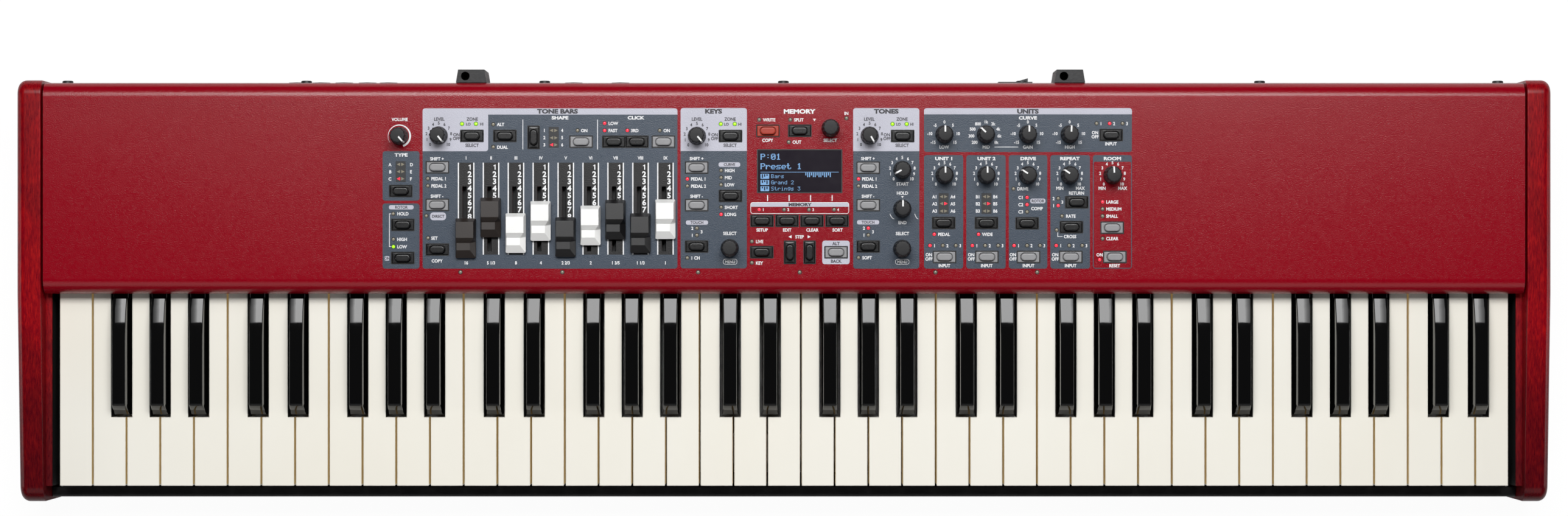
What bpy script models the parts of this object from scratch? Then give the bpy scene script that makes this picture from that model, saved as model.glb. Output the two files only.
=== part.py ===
"""Stage keyboard with wooden cheeks, drawbars, knobs and a 73-note keybed.

Frame: +X to the player's right, +Y to the rear, +Z up; the origin lies on the
table, under the middle of the outline. All sizes are in metres.
"""

import math

import bmesh
import bpy
from mathutils import Matrix, Vector

MM = 0.001
WELD = 1e-6  # how near two corners are made one

# Clearances between pieces
FIT = 0.3 * MM  # between touching pieces
RUNNING = 0.5 * MM  # beside a shaft, stem or key that moves

# Whole outline, seen from above; panel and key places are measured from the panel's own
# zero line, which lies PLAN_SHIFT in front of the middle of the outline
PLAN_SHIFT = -4.7 * MM
FOOT_HEIGHT = 6 * MM

# Keys; their span and front edge also set the cover, the cheeks, the tray and the keybed
WHITE_COUNT = 43
KEY_PITCH = 23.5 * MM
KEYS_HALF_X = WHITE_COUNT * KEY_PITCH / 2
KEY_GAP = 1.2 * MM
KEY_TOP_Z = 61 * MM
KEY_DEPTH = 22 * MM
KEY_BOTTOM_Z = KEY_TOP_Z - KEY_DEPTH
KEY_FRONT_Y = -135.1 * MM + PLAN_SHIFT
KEY_EDGE = 0.8 * MM
KEY_WALL = 1.8 * MM
TAIL_DEPTH = 10.5 * MM
TAIL_TOP_Z = KEY_BOTTOM_Z + TAIL_DEPTH
STRIP_LENGTH = 14 * MM
HINGE_Y = 70 * MM + PLAN_SHIFT
STRIP_FRONT_Y = HINGE_Y - STRIP_LENGTH
WHITE_HINGE_LIFT = 6 * MM
WHITE_HINGE_Z = KEY_BOTTOM_Z + WHITE_HINGE_LIFT
KEY_TRAVEL_DEG = 2.8

# Wooden cheeks, with a ledge inside that stands beside the end keys
LEDGE_GAP = 4.25 * MM
LEDGE_WIDTH = 4.5 * MM
CHEEK_THICK = 17 * MM
LEDGE_INNER_X = KEYS_HALF_X + LEDGE_GAP
CHEEK_INNER_X = LEDGE_INNER_X + LEDGE_WIDTH
CHEEK_OUTER_X = CHEEK_INNER_X + CHEEK_THICK
LEDGE_RISE = 1.5 * MM
LEDGE_TOP_Z = KEY_TOP_Z + LEDGE_RISE

# Sheet steel top cover
COVER_CHEEK_GAP = 1.5 * MM
COVER_HALF_X = CHEEK_INNER_X - COVER_CHEEK_GAP
COVER_TOP_Z = 80 * MM
COVER_SHEET = 1.5 * MM
COVER_REAR_Y = 145.2 * MM + PLAN_SHIFT
COVER_LIP_Y = -1.2 * MM + PLAN_SHIFT
COVER_LIP_GAP = 5.5 * MM
COVER_LIP_Z = KEY_TOP_Z + COVER_LIP_GAP
LIP_RADIUS = 10.5 * MM
REAR_RADIUS = 10 * MM
STEP_BEHIND_LIP = 8.2 * MM
KEY_STEP_Y = COVER_LIP_Y + STEP_BEHIND_LIP

# Outline of the cheeks beside the cover and the front rail
CHEEK_RISE = 0.5 * MM
CHEEK_TOP_Z = COVER_TOP_Z + CHEEK_RISE
CHEEK_FALL = 9.5 * MM
CHEEK_NOSE_Z = CHEEK_TOP_Z - CHEEK_FALL
CHEEK_SLOPE_OFFSET = 0.2 * MM
CHEEK_SLOPE_Y = COVER_LIP_Y + CHEEK_SLOPE_OFFSET
CHEEK_BEHIND_COVER = 1.8 * MM
CHEEK_REAR_Y = COVER_REAR_Y + CHEEK_BEHIND_COVER
CHEEK_FRONT_RADIUS = 12 * MM
CHEEK_REAR_RADIUS = 10 * MM
CHEEK_EDGE_RADIUS = 4.2 * MM

# Bottom tray with its folded front rail
TRAY_SHEET = 1.2 * MM
TRAY_FLANGE = 10 * MM
RAIL_KEY_GAP = 1.9 * MM
RAIL_WIDTH = 6.7 * MM
RAIL_REAR_Y = KEY_FRONT_Y - RAIL_KEY_GAP
RAIL_FRONT_Y = RAIL_REAR_Y - RAIL_WIDTH
RAIL_RISE = 2 * MM
RAIL_TOP_Z = KEY_BOTTOM_Z + RAIL_RISE
CHEEK_BEFORE_RAIL = 2.1 * MM
CHEEK_FRONT_Y = RAIL_FRONT_Y - CHEEK_BEFORE_RAIL
LEDGE_SETBACK = 2 * MM
LEDGE_FRONT_Y = RAIL_REAR_Y + LEDGE_SETBACK
RAIL_RADIUS = 1.5 * MM
FOOT_RADIUS = 10 * MM
FOOT_DRAFT = 0.85
FOOT_SIDES = 16
FOOT_INSET_X = 91 * MM
FOOT_INSET_Y = 36.4 * MM
FOOT_X = CHEEK_OUTER_X - FOOT_INSET_X
FOOT_Y = -RAIL_FRONT_Y - FOOT_INSET_Y

# Black keys, placed beside the joints of the white ones
BLACK_BASE = 11.2 * MM
BLACK_TOP = 9.2 * MM
BLACK_RISE = 12 * MM
BLACK_SETBACK = 49.9 * MM
BLACK_FRONT_Y = KEY_FRONT_Y + BLACK_SETBACK
SLOT_PLAY = 1.65 * MM
SLOT_WIDTH = BLACK_BASE + 2 * SLOT_PLAY
SLOT_FRONT_PLAY = 2 * MM
SLOT_FRONT_Y = BLACK_FRONT_Y - SLOT_FRONT_PLAY
POCKET_END_WALL = 2.8 * MM
POCKET_REAR_Y = SLOT_FRONT_Y - POCKET_END_WALL
BLACK_SLOPE = 6.6 * MM
BLACK_FLAT = 37.2 * MM
BLACK_FLAT_REAR_Y = BLACK_FRONT_Y + BLACK_FLAT
BLACK_LIP_GAP = 3.4 * MM
BLACK_REAR_Y = COVER_LIP_Y - BLACK_LIP_GAP
BLACK_REAR_RISE = 6 * MM
BLACK_NECK_GAP = 2.5 * MM
BLACK_NECK_Z = COVER_LIP_Z - BLACK_NECK_GAP
BLACK_SINK = 15 * MM
BLACK_BOTTOM_Z = KEY_TOP_Z - BLACK_SINK
BLACK_EDGE = 0.9 * MM
BLACK_TAIL_GAP = 2.5 * MM
BLACK_TAIL_DEPTH = 6 * MM
BLACK_TAIL_Z = (TAIL_TOP_Z + BLACK_TAIL_GAP, TAIL_TOP_Z + BLACK_TAIL_GAP + BLACK_TAIL_DEPTH)
BLACK_HINGE_Z = (BLACK_TAIL_Z[0] + BLACK_TAIL_Z[1]) / 2
# Offset of each black key from the joint of its two white keys, by joint number in the octave
BLACK_OFFSETS = {1: -3.3 * MM, 2: 0, 3: 3.3 * MM, 5: -2.2 * MM, 6: 2.2 * MM}
OCTAVE = 7
FIRST_F = 1  # number of the lowest F: one E lies to its left

# Keybed frame
BED_SHEET = 1.5 * MM
BED_LEDGE_GAP = 2.5 * MM
BED_HALF_X = LEDGE_INNER_X - BED_LEDGE_GAP
BED_SETBACK = 7.1 * MM
BED_FRONT_Y = KEY_FRONT_Y + BED_SETBACK
GUIDE_SETBACK = 8 * MM
GUIDE_LENGTH = 20 * MM
GUIDE_FRONT_Y = BED_FRONT_Y + GUIDE_SETBACK
GUIDE_REAR_Y = GUIDE_FRONT_Y + GUIDE_LENGTH
GUIDE_GAP = 9.5 * MM
GUIDE_TOP_Z = KEY_BOTTOM_Z - GUIDE_GAP
POST_PLAY = 0.65 * MM
POST_WIDTH = KEY_PITCH - KEY_GAP - 2 * (KEY_WALL + POST_PLAY)
POST_LENGTH = 5 * MM
POST_REACH = 7 * MM  # how far a guide post stands up inside its key
POST_TOP_Z = KEY_BOTTOM_Z + POST_REACH
HINGE_WALL = 3.5 * MM
BED_REAR_Y = HINGE_Y + RUNNING + HINGE_WALL
HINGE_WALL_RISE = 2 * MM
HINGE_WALL_TOP_Z = BLACK_TAIL_Z[1] + HINGE_WALL_RISE
SEAT_DEPTH = 8 * MM

# Electronics
BOARD_GAP = 10 * MM  # from the board to the top of the panel
BOARD_TOP_Z = COVER_TOP_Z - BOARD_GAP
BOARD_THICK = 1.6 * MM
BOARD_X = (-276 * MM, 241 * MM)
BOARD_Y = (9 * MM + PLAN_SHIFT, 128 * MM + PLAN_SHIFT)
POT_SIZE = 10 * MM
POT_HEIGHT = 6.5 * MM
SLIDER_WIDTH = 8 * MM
SLIDER_HEIGHT = 7 * MM
SWITCH_SIZE = 6 * MM
SWITCH_HEIGHT = 3.2 * MM
POST_RADIUS = 2.5 * MM
POST_SIDES = 6
POST_XS = (-268 * MM, -134 * MM, 0, 134 * MM, 233 * MM)
POST_INSET = 4 * MM
SINK = 0.2 * MM  # how far a joined block reaches into its carrier

# Knobs
KNOB_RADIUS = 6.3 * MM
KNOB_FLUTE = 0.4 * MM
KNOB_TOP_RADIUS = 5.5 * MM
KNOB_HEIGHT = 15.5 * MM
KNOB_FLUTES = 12
KNOB_LIFT = 0.6 * MM
SHAFT_RADIUS = 3 * MM
SHAFT_SIDES = 8

# Drawbars
DRAWBAR_COUNT = 9
DRAWBAR_X = -219.8 * MM
DRAWBAR_PITCH = 17.23 * MM
DRAWBAR_SLOT_OFFSET = -1.1 * MM
DRAWBAR_SLOT = 3 * MM
DRAWBAR_SLOT_Y = (28.2 * MM + PLAN_SHIFT, 73.1 * MM + PLAN_SHIFT)
DRAWBAR_WIDTH = 14 * MM
DRAWBAR_TOP_WIDTH = 12.6 * MM
DRAWBAR_LENGTH = 27.4 * MM
DRAWBAR_HEIGHT = 11 * MM
DRAWBAR_LIFT = 1 * MM
DRAWBAR_SKIRT = 3 * MM
CAP_REAR_BEVEL = (2.8 * MM, 3 * MM)
CAP_FLAT = 11.4 * MM
CAP_STEP = 2.8 * MM
NOSE_HEIGHT = 7.5 * MM
NOSE_LENGTH = 5.1 * MM
NOSE_EDGE = 2 * MM
NOSE_WIDTH = 10.3 * MM
NOSE_OFFSET = -0.6 * MM
STEM_WIDTH = 2 * MM
STEM_LENGTH = 4 * MM
STEM_BACK = 19 * MM  # from the cap's rear edge to the stem
STEM_DEPTH = 5 * MM
STEM_BOTTOM_Z = BOARD_TOP_Z - STEM_DEPTH
# Rear edge of each cap at rest
DRAWBAR_REAR_Y = [y * MM + PLAN_SHIFT for y in (50.9, 65.2, 54.4, 62.8, 51.7, 59.7, 63.7, 54.4, 64.0)]
BROWN_BARS = (0, 1)
BLACK_BARS = (4, 6, 7)

# Push buttons
BEZEL = (16.1 * MM, 8.4 * MM)
PLATE = (15 * MM, 7.4 * MM)
PILL = (11.3 * MM, 5.6 * MM)
PLATE_SINK = 0.6 * MM
PLATE_TOP_Z = COVER_TOP_Z - PLATE_SINK
PILL_RISE = 2.4 * MM
PILL_TOP_Z = COVER_TOP_Z + PILL_RISE
PRESS_TRAVEL = 1 * MM
MAT_THICK = 1.5 * MM
MAT_LOW_Z = BOARD_TOP_Z + SWITCH_HEIGHT + PRESS_TRAVEL + FIT
MAT_Z = (MAT_LOW_Z, MAT_LOW_Z + MAT_THICK)
MAT_HOLE_RADIUS = 4.5 * MM
PILL_ARC_POINTS = 4

# Display
DISPLAY_X = 10.8 * MM
DISPLAY_Y = 83.6 * MM + PLAN_SHIFT
DISPLAY_SIZE = (58.7 * MM, 30 * MM)
PANE_THICK = 1.3 * MM

# Rear sockets
SOCKET_Z = 40 * MM
SOCKET_BOARD_GAP = 23.2 * MM
SOCKET_BOARD_Y = COVER_REAR_Y - SOCKET_BOARD_GAP
SOCKET_BOARD_Z = (14 * MM, 58 * MM)
JACK_BODY = (14.6 * MM, 16 * MM)
JACK_BORE = 3.4 * MM
MINI_JACK_BORE = 1.9 * MM
BUSH_SIDES = 8
NUT_SIDES = 6
DIN_SIDES = 12
JACK_BUSH = 5.5 * MM
JACK_NUT = 7 * MM
JACK_NUT_THICK = 1.5 * MM
JACK_DEPTH = 14 * MM
JACK_XS = [x * MM for x in (-341.2, -324.7, -308.6, -292.2, -147.5, -114.7)]
MINI_JACK_X = -277.5 * MM
DIN_XS = (-187.3 * MM, -166.9 * MM)
DIN_RADIUS = 9 * MM
DIN_BORE = 6.5 * MM
DIN_DEPTH = 9 * MM
USB_X = -130.9 * MM
USB_SIZE = (12 * MM, 11 * MM)
USB_PORT = (8.6 * MM, 7.8 * MM)
POWER_X = 161.2 * MM
INLET_Z = 29 * MM
INLET_SIZE = (27.4 * MM, 20 * MM)
INLET_PORT = (24 * MM, 16.4 * MM)
INLET_DEPTH = 15 * MM
ROCKER_Z = 54 * MM
ROCKER_FRAME = (23.7 * MM, 15.4 * MM)
ROCKER_FRAME_THICK = 1 * MM
ROCKER_COLLAR = (22 * MM, 13.8 * MM)
ROCKER_SIZE = (19 * MM, 11 * MM)
ROCKER_DEPTH = 6 * MM
ROCKER_TAPER = 1.2 * MM
ROCKER_TILT_DEG = 8

# Music stand holders on the rear wall
HOLDER_XS = {"left": -217.1 * MM, "right": 198.4 * MM}
HOLDER_BASE = 21.2 * MM
HOLDER_FACE = 18.2 * MM
HOLDER_DEPTH = 9 * MM
HOLDER_Z = (34 * MM, 71 * MM)
HOLDER_BORE = 3.1 * MM
HOLDER_BORE_X = -4.1 * MM
HOLDER_BORE_DEPTH = 30 * MM


def place(x, y):
    """A panel position in millimetres, turned into the part's frame."""
    return (x * MM, y * MM + PLAN_SHIFT)


KNOBS = {
    "knob_master": place(-265.9, 107.9),
    "knob_organ_level": place(-238.7, 108.3),
    "knob_piano_level": place(-60.2, 108),
    "knob_program_dial": place(32.2, 113.4),
    "knob_synth_level": place(59.2, 108.2),
    "knob_attack": place(81.8, 84.5),
    "knob_decay": place(81.8, 57.7),
    "knob_piano_select": place(-37.5, 30.4),
    "knob_sample_select": place(81.7, 30),
    "knob_eq_bass": place(110.9, 109.1),
    "knob_eq_freq": place(139.6, 109.1),
    "knob_eq_gain": place(168.6, 109.1),
    "knob_eq_treble": place(197.5, 109.1),
    "knob_effect_1": place(111, 80.9),
    "knob_effect_2": place(139.9, 80.9),
    "knob_amp_drive": place(168.6, 80.9),
    "knob_delay_mix": place(197.5, 80.9),
    "knob_reverb_mix": place(227.1, 80.9),
}

# Buttons of each mat; the last field is True where the button stands upright
MATS = {
    "button_mat_organ": [
        (*place(-265, 69.9), False),
        (*place(-263.6, 46.5), False),
        (*place(-263.6, 23.6), False),
        (*place(-215.8, 108), False),
        (*place(-193, 108), False),
        (*place(-173.1, 107), True),
        (*place(-140.3, 104), False),
        (*place(-117.7, 104), False),
        (*place(-101.7, 104), False),
        (*place(-83.4, 104), False),
        (*place(-239.7, 86.3), False),
        (*place(-239.8, 60.3), False),
        (*place(-239.7, 29.4), False),
    ],
    "button_mat_piano": [
        (*place(-37, 107.9), False),
        (*place(-60.4, 86.1), False),
        (*place(-60.4, 60.1), False),
        (*place(-37, 66.5), False),
        (*place(-60.4, 31.5), False),
    ],
    "button_mat_program": [
        (*place(-11.1, 111.5), False),
        (*place(10.9, 111.6), False),
        (*place(-15.2, 49.3), False),
        (*place(2.1, 49.3), False),
        (*place(19.3, 49.3), False),
        (*place(36.7, 49.3), False),
        (*place(-15.4, 27.6), False),
        (*place(4.1, 27.5), True),
        (*place(17.7, 27.5), True),
        (*place(36, 27.5), False),
    ],
    "button_mat_synth": [
        (*place(82, 107.9), False),
        (*place(58.2, 86), False),
        (*place(58.2, 60.1), False),
        (*place(58.2, 31.5), False),
    ],
    "button_mat_effects": [
        (*place(226.2, 108.6), False),
        (*place(110.4, 47.8), False),
        (*place(111, 24.3), False),
        (*place(140, 47.8), False),
        (*place(140.3, 24.3), False),
        (*place(168.1, 47.6), False),
        (*place(169.1, 24.3), False),
        (*place(202.4, 62.1), False),
        (*place(198.7, 44.9), False),
        (*place(198.3, 24.3), False),
        (*place(226.9, 44.5), False),
        (*place(228.8, 24.3), False),
    ],
}

# Outline of each mat's sheet, as corners on the panel
MAT_OUTLINES = {
    "button_mat_organ": [
        place(-274, 17), place(-231, 17), place(-231, 96), place(-74, 96),
        place(-74, 117), place(-274, 117),
    ],
    "button_mat_piano": [place(-69, 17), place(-28, 17), place(-28, 117), place(-69, 117)],
    "button_mat_program": [
        place(-25.5, 17), place(45.5, 17), place(45.5, 56), place(-20.5, 56),
        place(-20.5, 103), place(20, 103), place(20, 117), place(-25.5, 117),
    ],
    "button_mat_synth": [place(48.5, 17), place(92.5, 17), place(92.5, 117), place(48.5, 117)],
    "button_mat_effects": [
        place(101, 17), place(238, 17), place(238, 117), place(216, 117),
        place(216, 68), place(101, 68),
    ],
}

COLOURS = {
    "red_paint": ((0.36, 0.014, 0.028, 1), 0.5, 0.2),
    "red_wood": ((0.42, 0.045, 0.025, 1), 0.45, 0),
    "black_steel": ((0.012, 0.012, 0.013, 1), 0.5, 0.3),
    "zinc_steel": ((0.5, 0.5, 0.5, 1), 0.4, 0.9),
    "ivory_plastic": ((0.86, 0.83, 0.77, 1), 0.3, 0),
    "gloss_black": ((0.008, 0.008, 0.009, 1), 0.12, 0),
    "matte_black": ((0.02, 0.02, 0.021, 1), 0.6, 0),
    "grey_rubber": ((0.07, 0.07, 0.075, 1), 0.7, 0),
    "brown_plastic": ((0.045, 0.032, 0.028, 1), 0.5, 0),
    "white_plastic": ((0.9, 0.9, 0.88, 1), 0.35, 0),
    "circuit_board": ((0.01, 0.06, 0.03, 1), 0.5, 0),
    "display_glass": ((0.008, 0.01, 0.03, 1), 0.1, 0),
    "rubber": ((0.015, 0.015, 0.015, 1), 0.85, 0),
}


def clear_scene():
    for old in list(bpy.data.objects):
        bpy.data.objects.remove(old, do_unlink=True)


def new_collection(name):
    collection = bpy.data.collections.new(name)
    bpy.context.scene.collection.children.link(collection)
    return collection


def material(name):
    """A Principled material with the colour, roughness and metallic value of the list."""
    found = bpy.data.materials.get(name)
    if found:
        return found
    colour, roughness, metallic = COLOURS[name]
    made = bpy.data.materials.new(name)
    made.use_nodes = True
    shader = made.node_tree.nodes["Principled BSDF"]
    shader.inputs["Base Color"].default_value = colour
    shader.inputs["Roughness"].default_value = roughness
    shader.inputs["Metallic"].default_value = metallic
    made.diffuse_color = colour
    return made


def add_object(name, mesh, finish, location=(0, 0, 0)):
    obj = bpy.data.objects.new(name, mesh)
    obj.location = location
    if not mesh.materials:
        mesh.materials.append(material(finish))
    PARTS.objects.link(obj)
    return obj


def add_guide(name, mesh):
    """An object that only cuts or joins, so it is neither rendered nor built."""
    obj = bpy.data.objects.new(name, mesh)
    obj.hide_render = True
    obj.display_type = "WIRE"
    GUIDES.objects.link(obj)
    return obj


def mesh_from(bm, name):
    """A mesh with its faces pointing out; the bmesh is freed."""
    bmesh.ops.recalc_face_normals(bm, faces=bm.faces)
    if bm.calc_volume(signed=True) < 0:
        bmesh.ops.reverse_faces(bm, faces=bm.faces)
    mesh = bpy.data.meshes.new(name)
    bm.to_mesh(mesh)
    bm.free()
    return mesh


def add_box(bm, x, y, z):
    """A box between pairs of low and high values."""
    size = Vector((x[1] - x[0], y[1] - y[0], z[1] - z[0]))
    middle = Vector((x[0] + x[1], y[0] + y[1], z[0] + z[1])) / 2
    matrix = Matrix.Translation(middle) @ Matrix.Diagonal((*size, 1))
    return bmesh.ops.create_cube(bm, size=1, matrix=matrix)["verts"]


def add_block(bm, centre, size, z):
    """A box given by its centre and size on the panel, and its heights."""
    half_x = size[0] / 2
    half_y = size[1] / 2
    return add_box(bm, (centre[0] - half_x, centre[0] + half_x), (centre[1] - half_y, centre[1] + half_y), z)


def add_cylinder(bm, centre, radius, low, high, sides, axis="Z", top_radius=None):
    """A cylinder or cone along Z or Y; centre holds the two other coordinates."""
    if axis == "Z":
        middle = Vector((centre[0], centre[1], (low + high) / 2))
        turn = Matrix.Identity(4)
    else:
        middle = Vector((centre[0], (low + high) / 2, centre[1]))
        turn = Matrix.Rotation(-math.pi / 2, 4, "X")
    far_radius = radius if top_radius is None else top_radius
    return bmesh.ops.create_cone(
        bm, cap_ends=True, segments=sides, radius1=radius, radius2=far_radius,
        depth=high - low, matrix=Matrix.Translation(middle) @ turn,
    )["verts"]


def arc(centre, radius, start_deg, end_deg, steps):
    """Points on an arc, both ends included."""
    points = []
    for i in range(steps + 1):
        angle = math.radians(start_deg + (end_deg - start_deg) * i / steps)
        points.append((centre[0] + radius * math.cos(angle), centre[1] + radius * math.sin(angle)))
    return points


def prism_mesh(name, outlines, low, high, axis="Z"):
    """Flat closed outlines, the inner ones holes, extruded along Z or X.

    Along X an outline's points are (y, z) pairs.
    """
    curve = bpy.data.curves.new(name, "CURVE")
    curve.dimensions = "2D"
    curve.fill_mode = "BOTH"
    curve.extrude = (high - low) / 2
    for outline in outlines:
        spline = curve.splines.new("POLY")
        spline.points.add(len(outline) - 1)
        for point, (u, v) in zip(spline.points, outline):
            point.co = (u, v, 0, 1)
        spline.use_cyclic_u = True
    source = bpy.data.objects.new(name, curve)
    PARTS.objects.link(source)
    bpy.context.view_layer.update()
    graph = bpy.context.evaluated_depsgraph_get()
    mesh = bpy.data.meshes.new_from_object(source.evaluated_get(graph))
    bpy.data.objects.remove(source)
    bm = bmesh.new()
    bm.from_mesh(mesh)
    bpy.data.meshes.remove(mesh)
    bmesh.ops.remove_doubles(bm, verts=bm.verts, dist=WELD)
    join_flat_faces(bm)
    middle = (low + high) / 2
    if axis == "Z":
        matrix = Matrix.Translation((0, 0, middle))
    else:
        along_x = Matrix(((0, 0, 1, 0), (1, 0, 0, 0), (0, 1, 0, 0), (0, 0, 0, 1)))
        matrix = Matrix.Translation((middle, 0, 0)) @ along_x
    bm.transform(matrix)
    return mesh_from(bm, name)


def join_flat_faces(bm):
    """Makes each flat side one face, so that a bevel or a cut meets no stray edges."""
    bmesh.ops.dissolve_limit(bm, angle_limit=math.radians(0.5), verts=bm.verts, edges=bm.edges)


def split_many_sided(bm):
    """Cuts faces with many corners into well shaped triangles."""
    many_sided = [face for face in bm.faces if len(face.verts) > 4]
    bmesh.ops.triangulate(bm, faces=many_sided, ngon_method="BEAUTY")
    bmesh.ops.dissolve_degenerate(bm, dist=WELD, edges=bm.edges)


def boolean(target, guide, operation, crossing=False):
    """Cuts or joins with a guide; crossing says that the guide's own solids overlap."""
    modifier = target.modifiers.new(guide.name, "BOOLEAN")
    modifier.use_self = crossing
    modifier.operation = operation
    modifier.solver = "EXACT"
    modifier.object = guide


def frozen_mesh(obj):
    """The mesh of an object with its modifiers applied; the object is removed."""
    bpy.context.view_layer.update()
    graph = bpy.context.evaluated_depsgraph_get()
    mesh = bpy.data.meshes.new_from_object(obj.evaluated_get(graph))
    mesh.name = obj.name
    bpy.data.objects.remove(obj)
    return mesh


def set_origin(obj, point):
    """Moves an object's origin and leaves its shape where it is."""
    obj.data.transform(Matrix.Translation(-Vector(point)))
    obj.location = point


def smooth(obj):
    obj.data.shade_smooth()
    obj.data.set_sharp_from_angle(angle=math.radians(35))


def all_buttons():
    return [button for mat in MATS.values() for button in mat]


def upright_size(size, upright):
    return (size[1], size[0]) if upright else size


# Keys: numbering, places and outlines
def key_left(number):
    return (number - WHITE_COUNT / 2) * KEY_PITCH + KEY_GAP / 2


def key_right(number):
    return (number + 1 - WHITE_COUNT / 2) * KEY_PITCH - KEY_GAP / 2


def black_centre(number):
    """The middle of the black key at the right of a white key, or None."""
    joint = (number - FIRST_F) % OCTAVE + 1
    if number < FIRST_F or joint not in BLACK_OFFSETS:
        return None
    return (number + 1 - WHITE_COUNT / 2) * KEY_PITCH + BLACK_OFFSETS[joint]


def octaves():
    """First and last white key of each group; the lowest E joins the first group."""
    groups = []
    for first in range(FIRST_F, WHITE_COUNT, OCTAVE):
        groups.append([first, min(first + OCTAVE, WHITE_COUNT) - 1])
    groups[0][0] = 0
    return groups


def white_outline(first, last):
    """Plan outline of a group of white keys on their common hinge strip."""
    points = [(key_left(first), HINGE_Y), (key_left(first), KEY_FRONT_Y)]
    for number in range(first, last):
        points.append((key_right(number), KEY_FRONT_Y))
        centre = black_centre(number)
        if centre is None:
            points.append((key_right(number), STRIP_FRONT_Y))
            points.append((key_left(number + 1), STRIP_FRONT_Y))
        else:
            points.append((key_right(number), SLOT_FRONT_Y))
            points.append((centre - SLOT_WIDTH / 2, SLOT_FRONT_Y))
            points.append((centre - SLOT_WIDTH / 2, STRIP_FRONT_Y))
            points.append((centre + SLOT_WIDTH / 2, STRIP_FRONT_Y))
            points.append((centre + SLOT_WIDTH / 2, SLOT_FRONT_Y))
            points.append((key_left(number + 1), SLOT_FRONT_Y))
        points.append((key_left(number + 1), KEY_FRONT_Y))
    points.append((key_right(last), KEY_FRONT_Y))
    points.append((key_right(last), HINGE_Y))
    return points


def rounded_keys(mesh):
    """Bevels the top edges and the front corners of the keys that the player touches."""
    bm = bmesh.new()
    bm.from_mesh(mesh)
    edges = []
    for edge in bm.edges:
        ends = [v.co for v in edge.verts]
        visible = max(p.y for p in ends) < STRIP_FRONT_Y + KEY_GAP
        on_top = min(p.z for p in ends) > KEY_TOP_Z - SINK
        in_front = max(p.y for p in ends) < KEY_FRONT_Y + SINK and abs(ends[0].x - ends[1].x) < SINK
        if (visible and on_top) or in_front:
            edges.append(edge)
    bmesh.ops.bevel(bm, geom=edges, offset=KEY_EDGE, segments=1, affect="EDGES", clamp_overlap=True)
    split_many_sided(bm)
    return mesh_from(bm, mesh.name)


def build_white_keys():
    for index, (first, last) in enumerate(octaves(), 1):
        name = f"white_keys_{index}"
        mesh = prism_mesh(name, [white_outline(first, last)], KEY_BOTTOM_Z, KEY_TOP_Z)
        keys = add_object(name, rounded_keys(mesh), "ivory_plastic")
        cutter = bmesh.new()
        spread = (key_left(first) - KEY_PITCH, key_right(last) + KEY_PITCH)
        add_box(cutter, spread, (KEY_STEP_Y, HINGE_Y + KEY_PITCH), (TAIL_TOP_Z, KEY_TOP_Z + KEY_PITCH))
        for number in range(first, last + 1):
            add_box(
                cutter,
                (key_left(number) + KEY_WALL, key_right(number) - KEY_WALL),
                (KEY_FRONT_Y + KEY_WALL, POCKET_REAR_Y),
                (KEY_BOTTOM_Z - KEY_WALL, KEY_TOP_Z - KEY_WALL),
            )
        boolean(keys, add_guide(f"{name}_hollows", mesh_from(cutter, name)), "DIFFERENCE")
        set_origin(keys, (0, HINGE_Y, WHITE_HINGE_Z))


def black_profile():
    """Side outline of a black key with its tail, from its foot in front round to its neck."""
    top = KEY_TOP_Z + BLACK_RISE
    points = [(BLACK_FRONT_Y, BLACK_BOTTOM_Z), (BLACK_FRONT_Y, KEY_TOP_Z)]
    points.append((BLACK_FRONT_Y + BLACK_SLOPE, top - BLACK_EDGE / 2))
    points.append((BLACK_FRONT_Y + BLACK_SLOPE + BLACK_EDGE, top))
    run = BLACK_REAR_Y - BLACK_FLAT_REAR_Y
    fall = BLACK_RISE - BLACK_REAR_RISE
    steps = 3
    for i in range(steps + 1):
        share = i / steps
        points.append((BLACK_FLAT_REAR_Y + run * share, top - fall * share**2))
    tail_rear = (STRIP_FRONT_Y + HINGE_Y) / 2
    points.append((BLACK_REAR_Y + BLACK_EDGE, BLACK_NECK_Z))
    points.append((KEY_STEP_Y, BLACK_NECK_Z))
    points.append((KEY_STEP_Y, BLACK_TAIL_Z[1] - SINK))
    points.append((tail_rear, BLACK_TAIL_Z[1] - SINK))
    points.append((tail_rear, BLACK_TAIL_Z[0] + SINK))
    points.append((KEY_STEP_Y, BLACK_TAIL_Z[0] + SINK))
    points.append((KEY_STEP_Y, BLACK_BOTTOM_Z))
    return points


def black_head_mesh():
    """One black key's body, drafted towards its top, with its middle at X = 0."""
    mesh = prism_mesh("black_head", [black_profile()], -BLACK_BASE / 2, BLACK_BASE / 2, "X")
    bm = bmesh.new()
    bm.from_mesh(mesh)
    draft = (BLACK_BASE - BLACK_TOP) / BLACK_BASE / BLACK_RISE
    for vertex in bm.verts:
        above = max(0, vertex.co.z - KEY_TOP_Z)
        vertex.co.x *= 1 - draft * above
    edges = []
    for edge in bm.edges:
        ends = [v.co for v in edge.verts]
        along = abs(ends[0].x - ends[1].x) < BLACK_EDGE
        high = min(p.z for p in ends) > BLACK_NECK_Z + SINK
        if along and high:
            edges.append(edge)
    bmesh.ops.bevel(bm, geom=edges, offset=BLACK_EDGE, segments=1, affect="EDGES", clamp_overlap=True)
    return mesh_from(bm, mesh.name)


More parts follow.
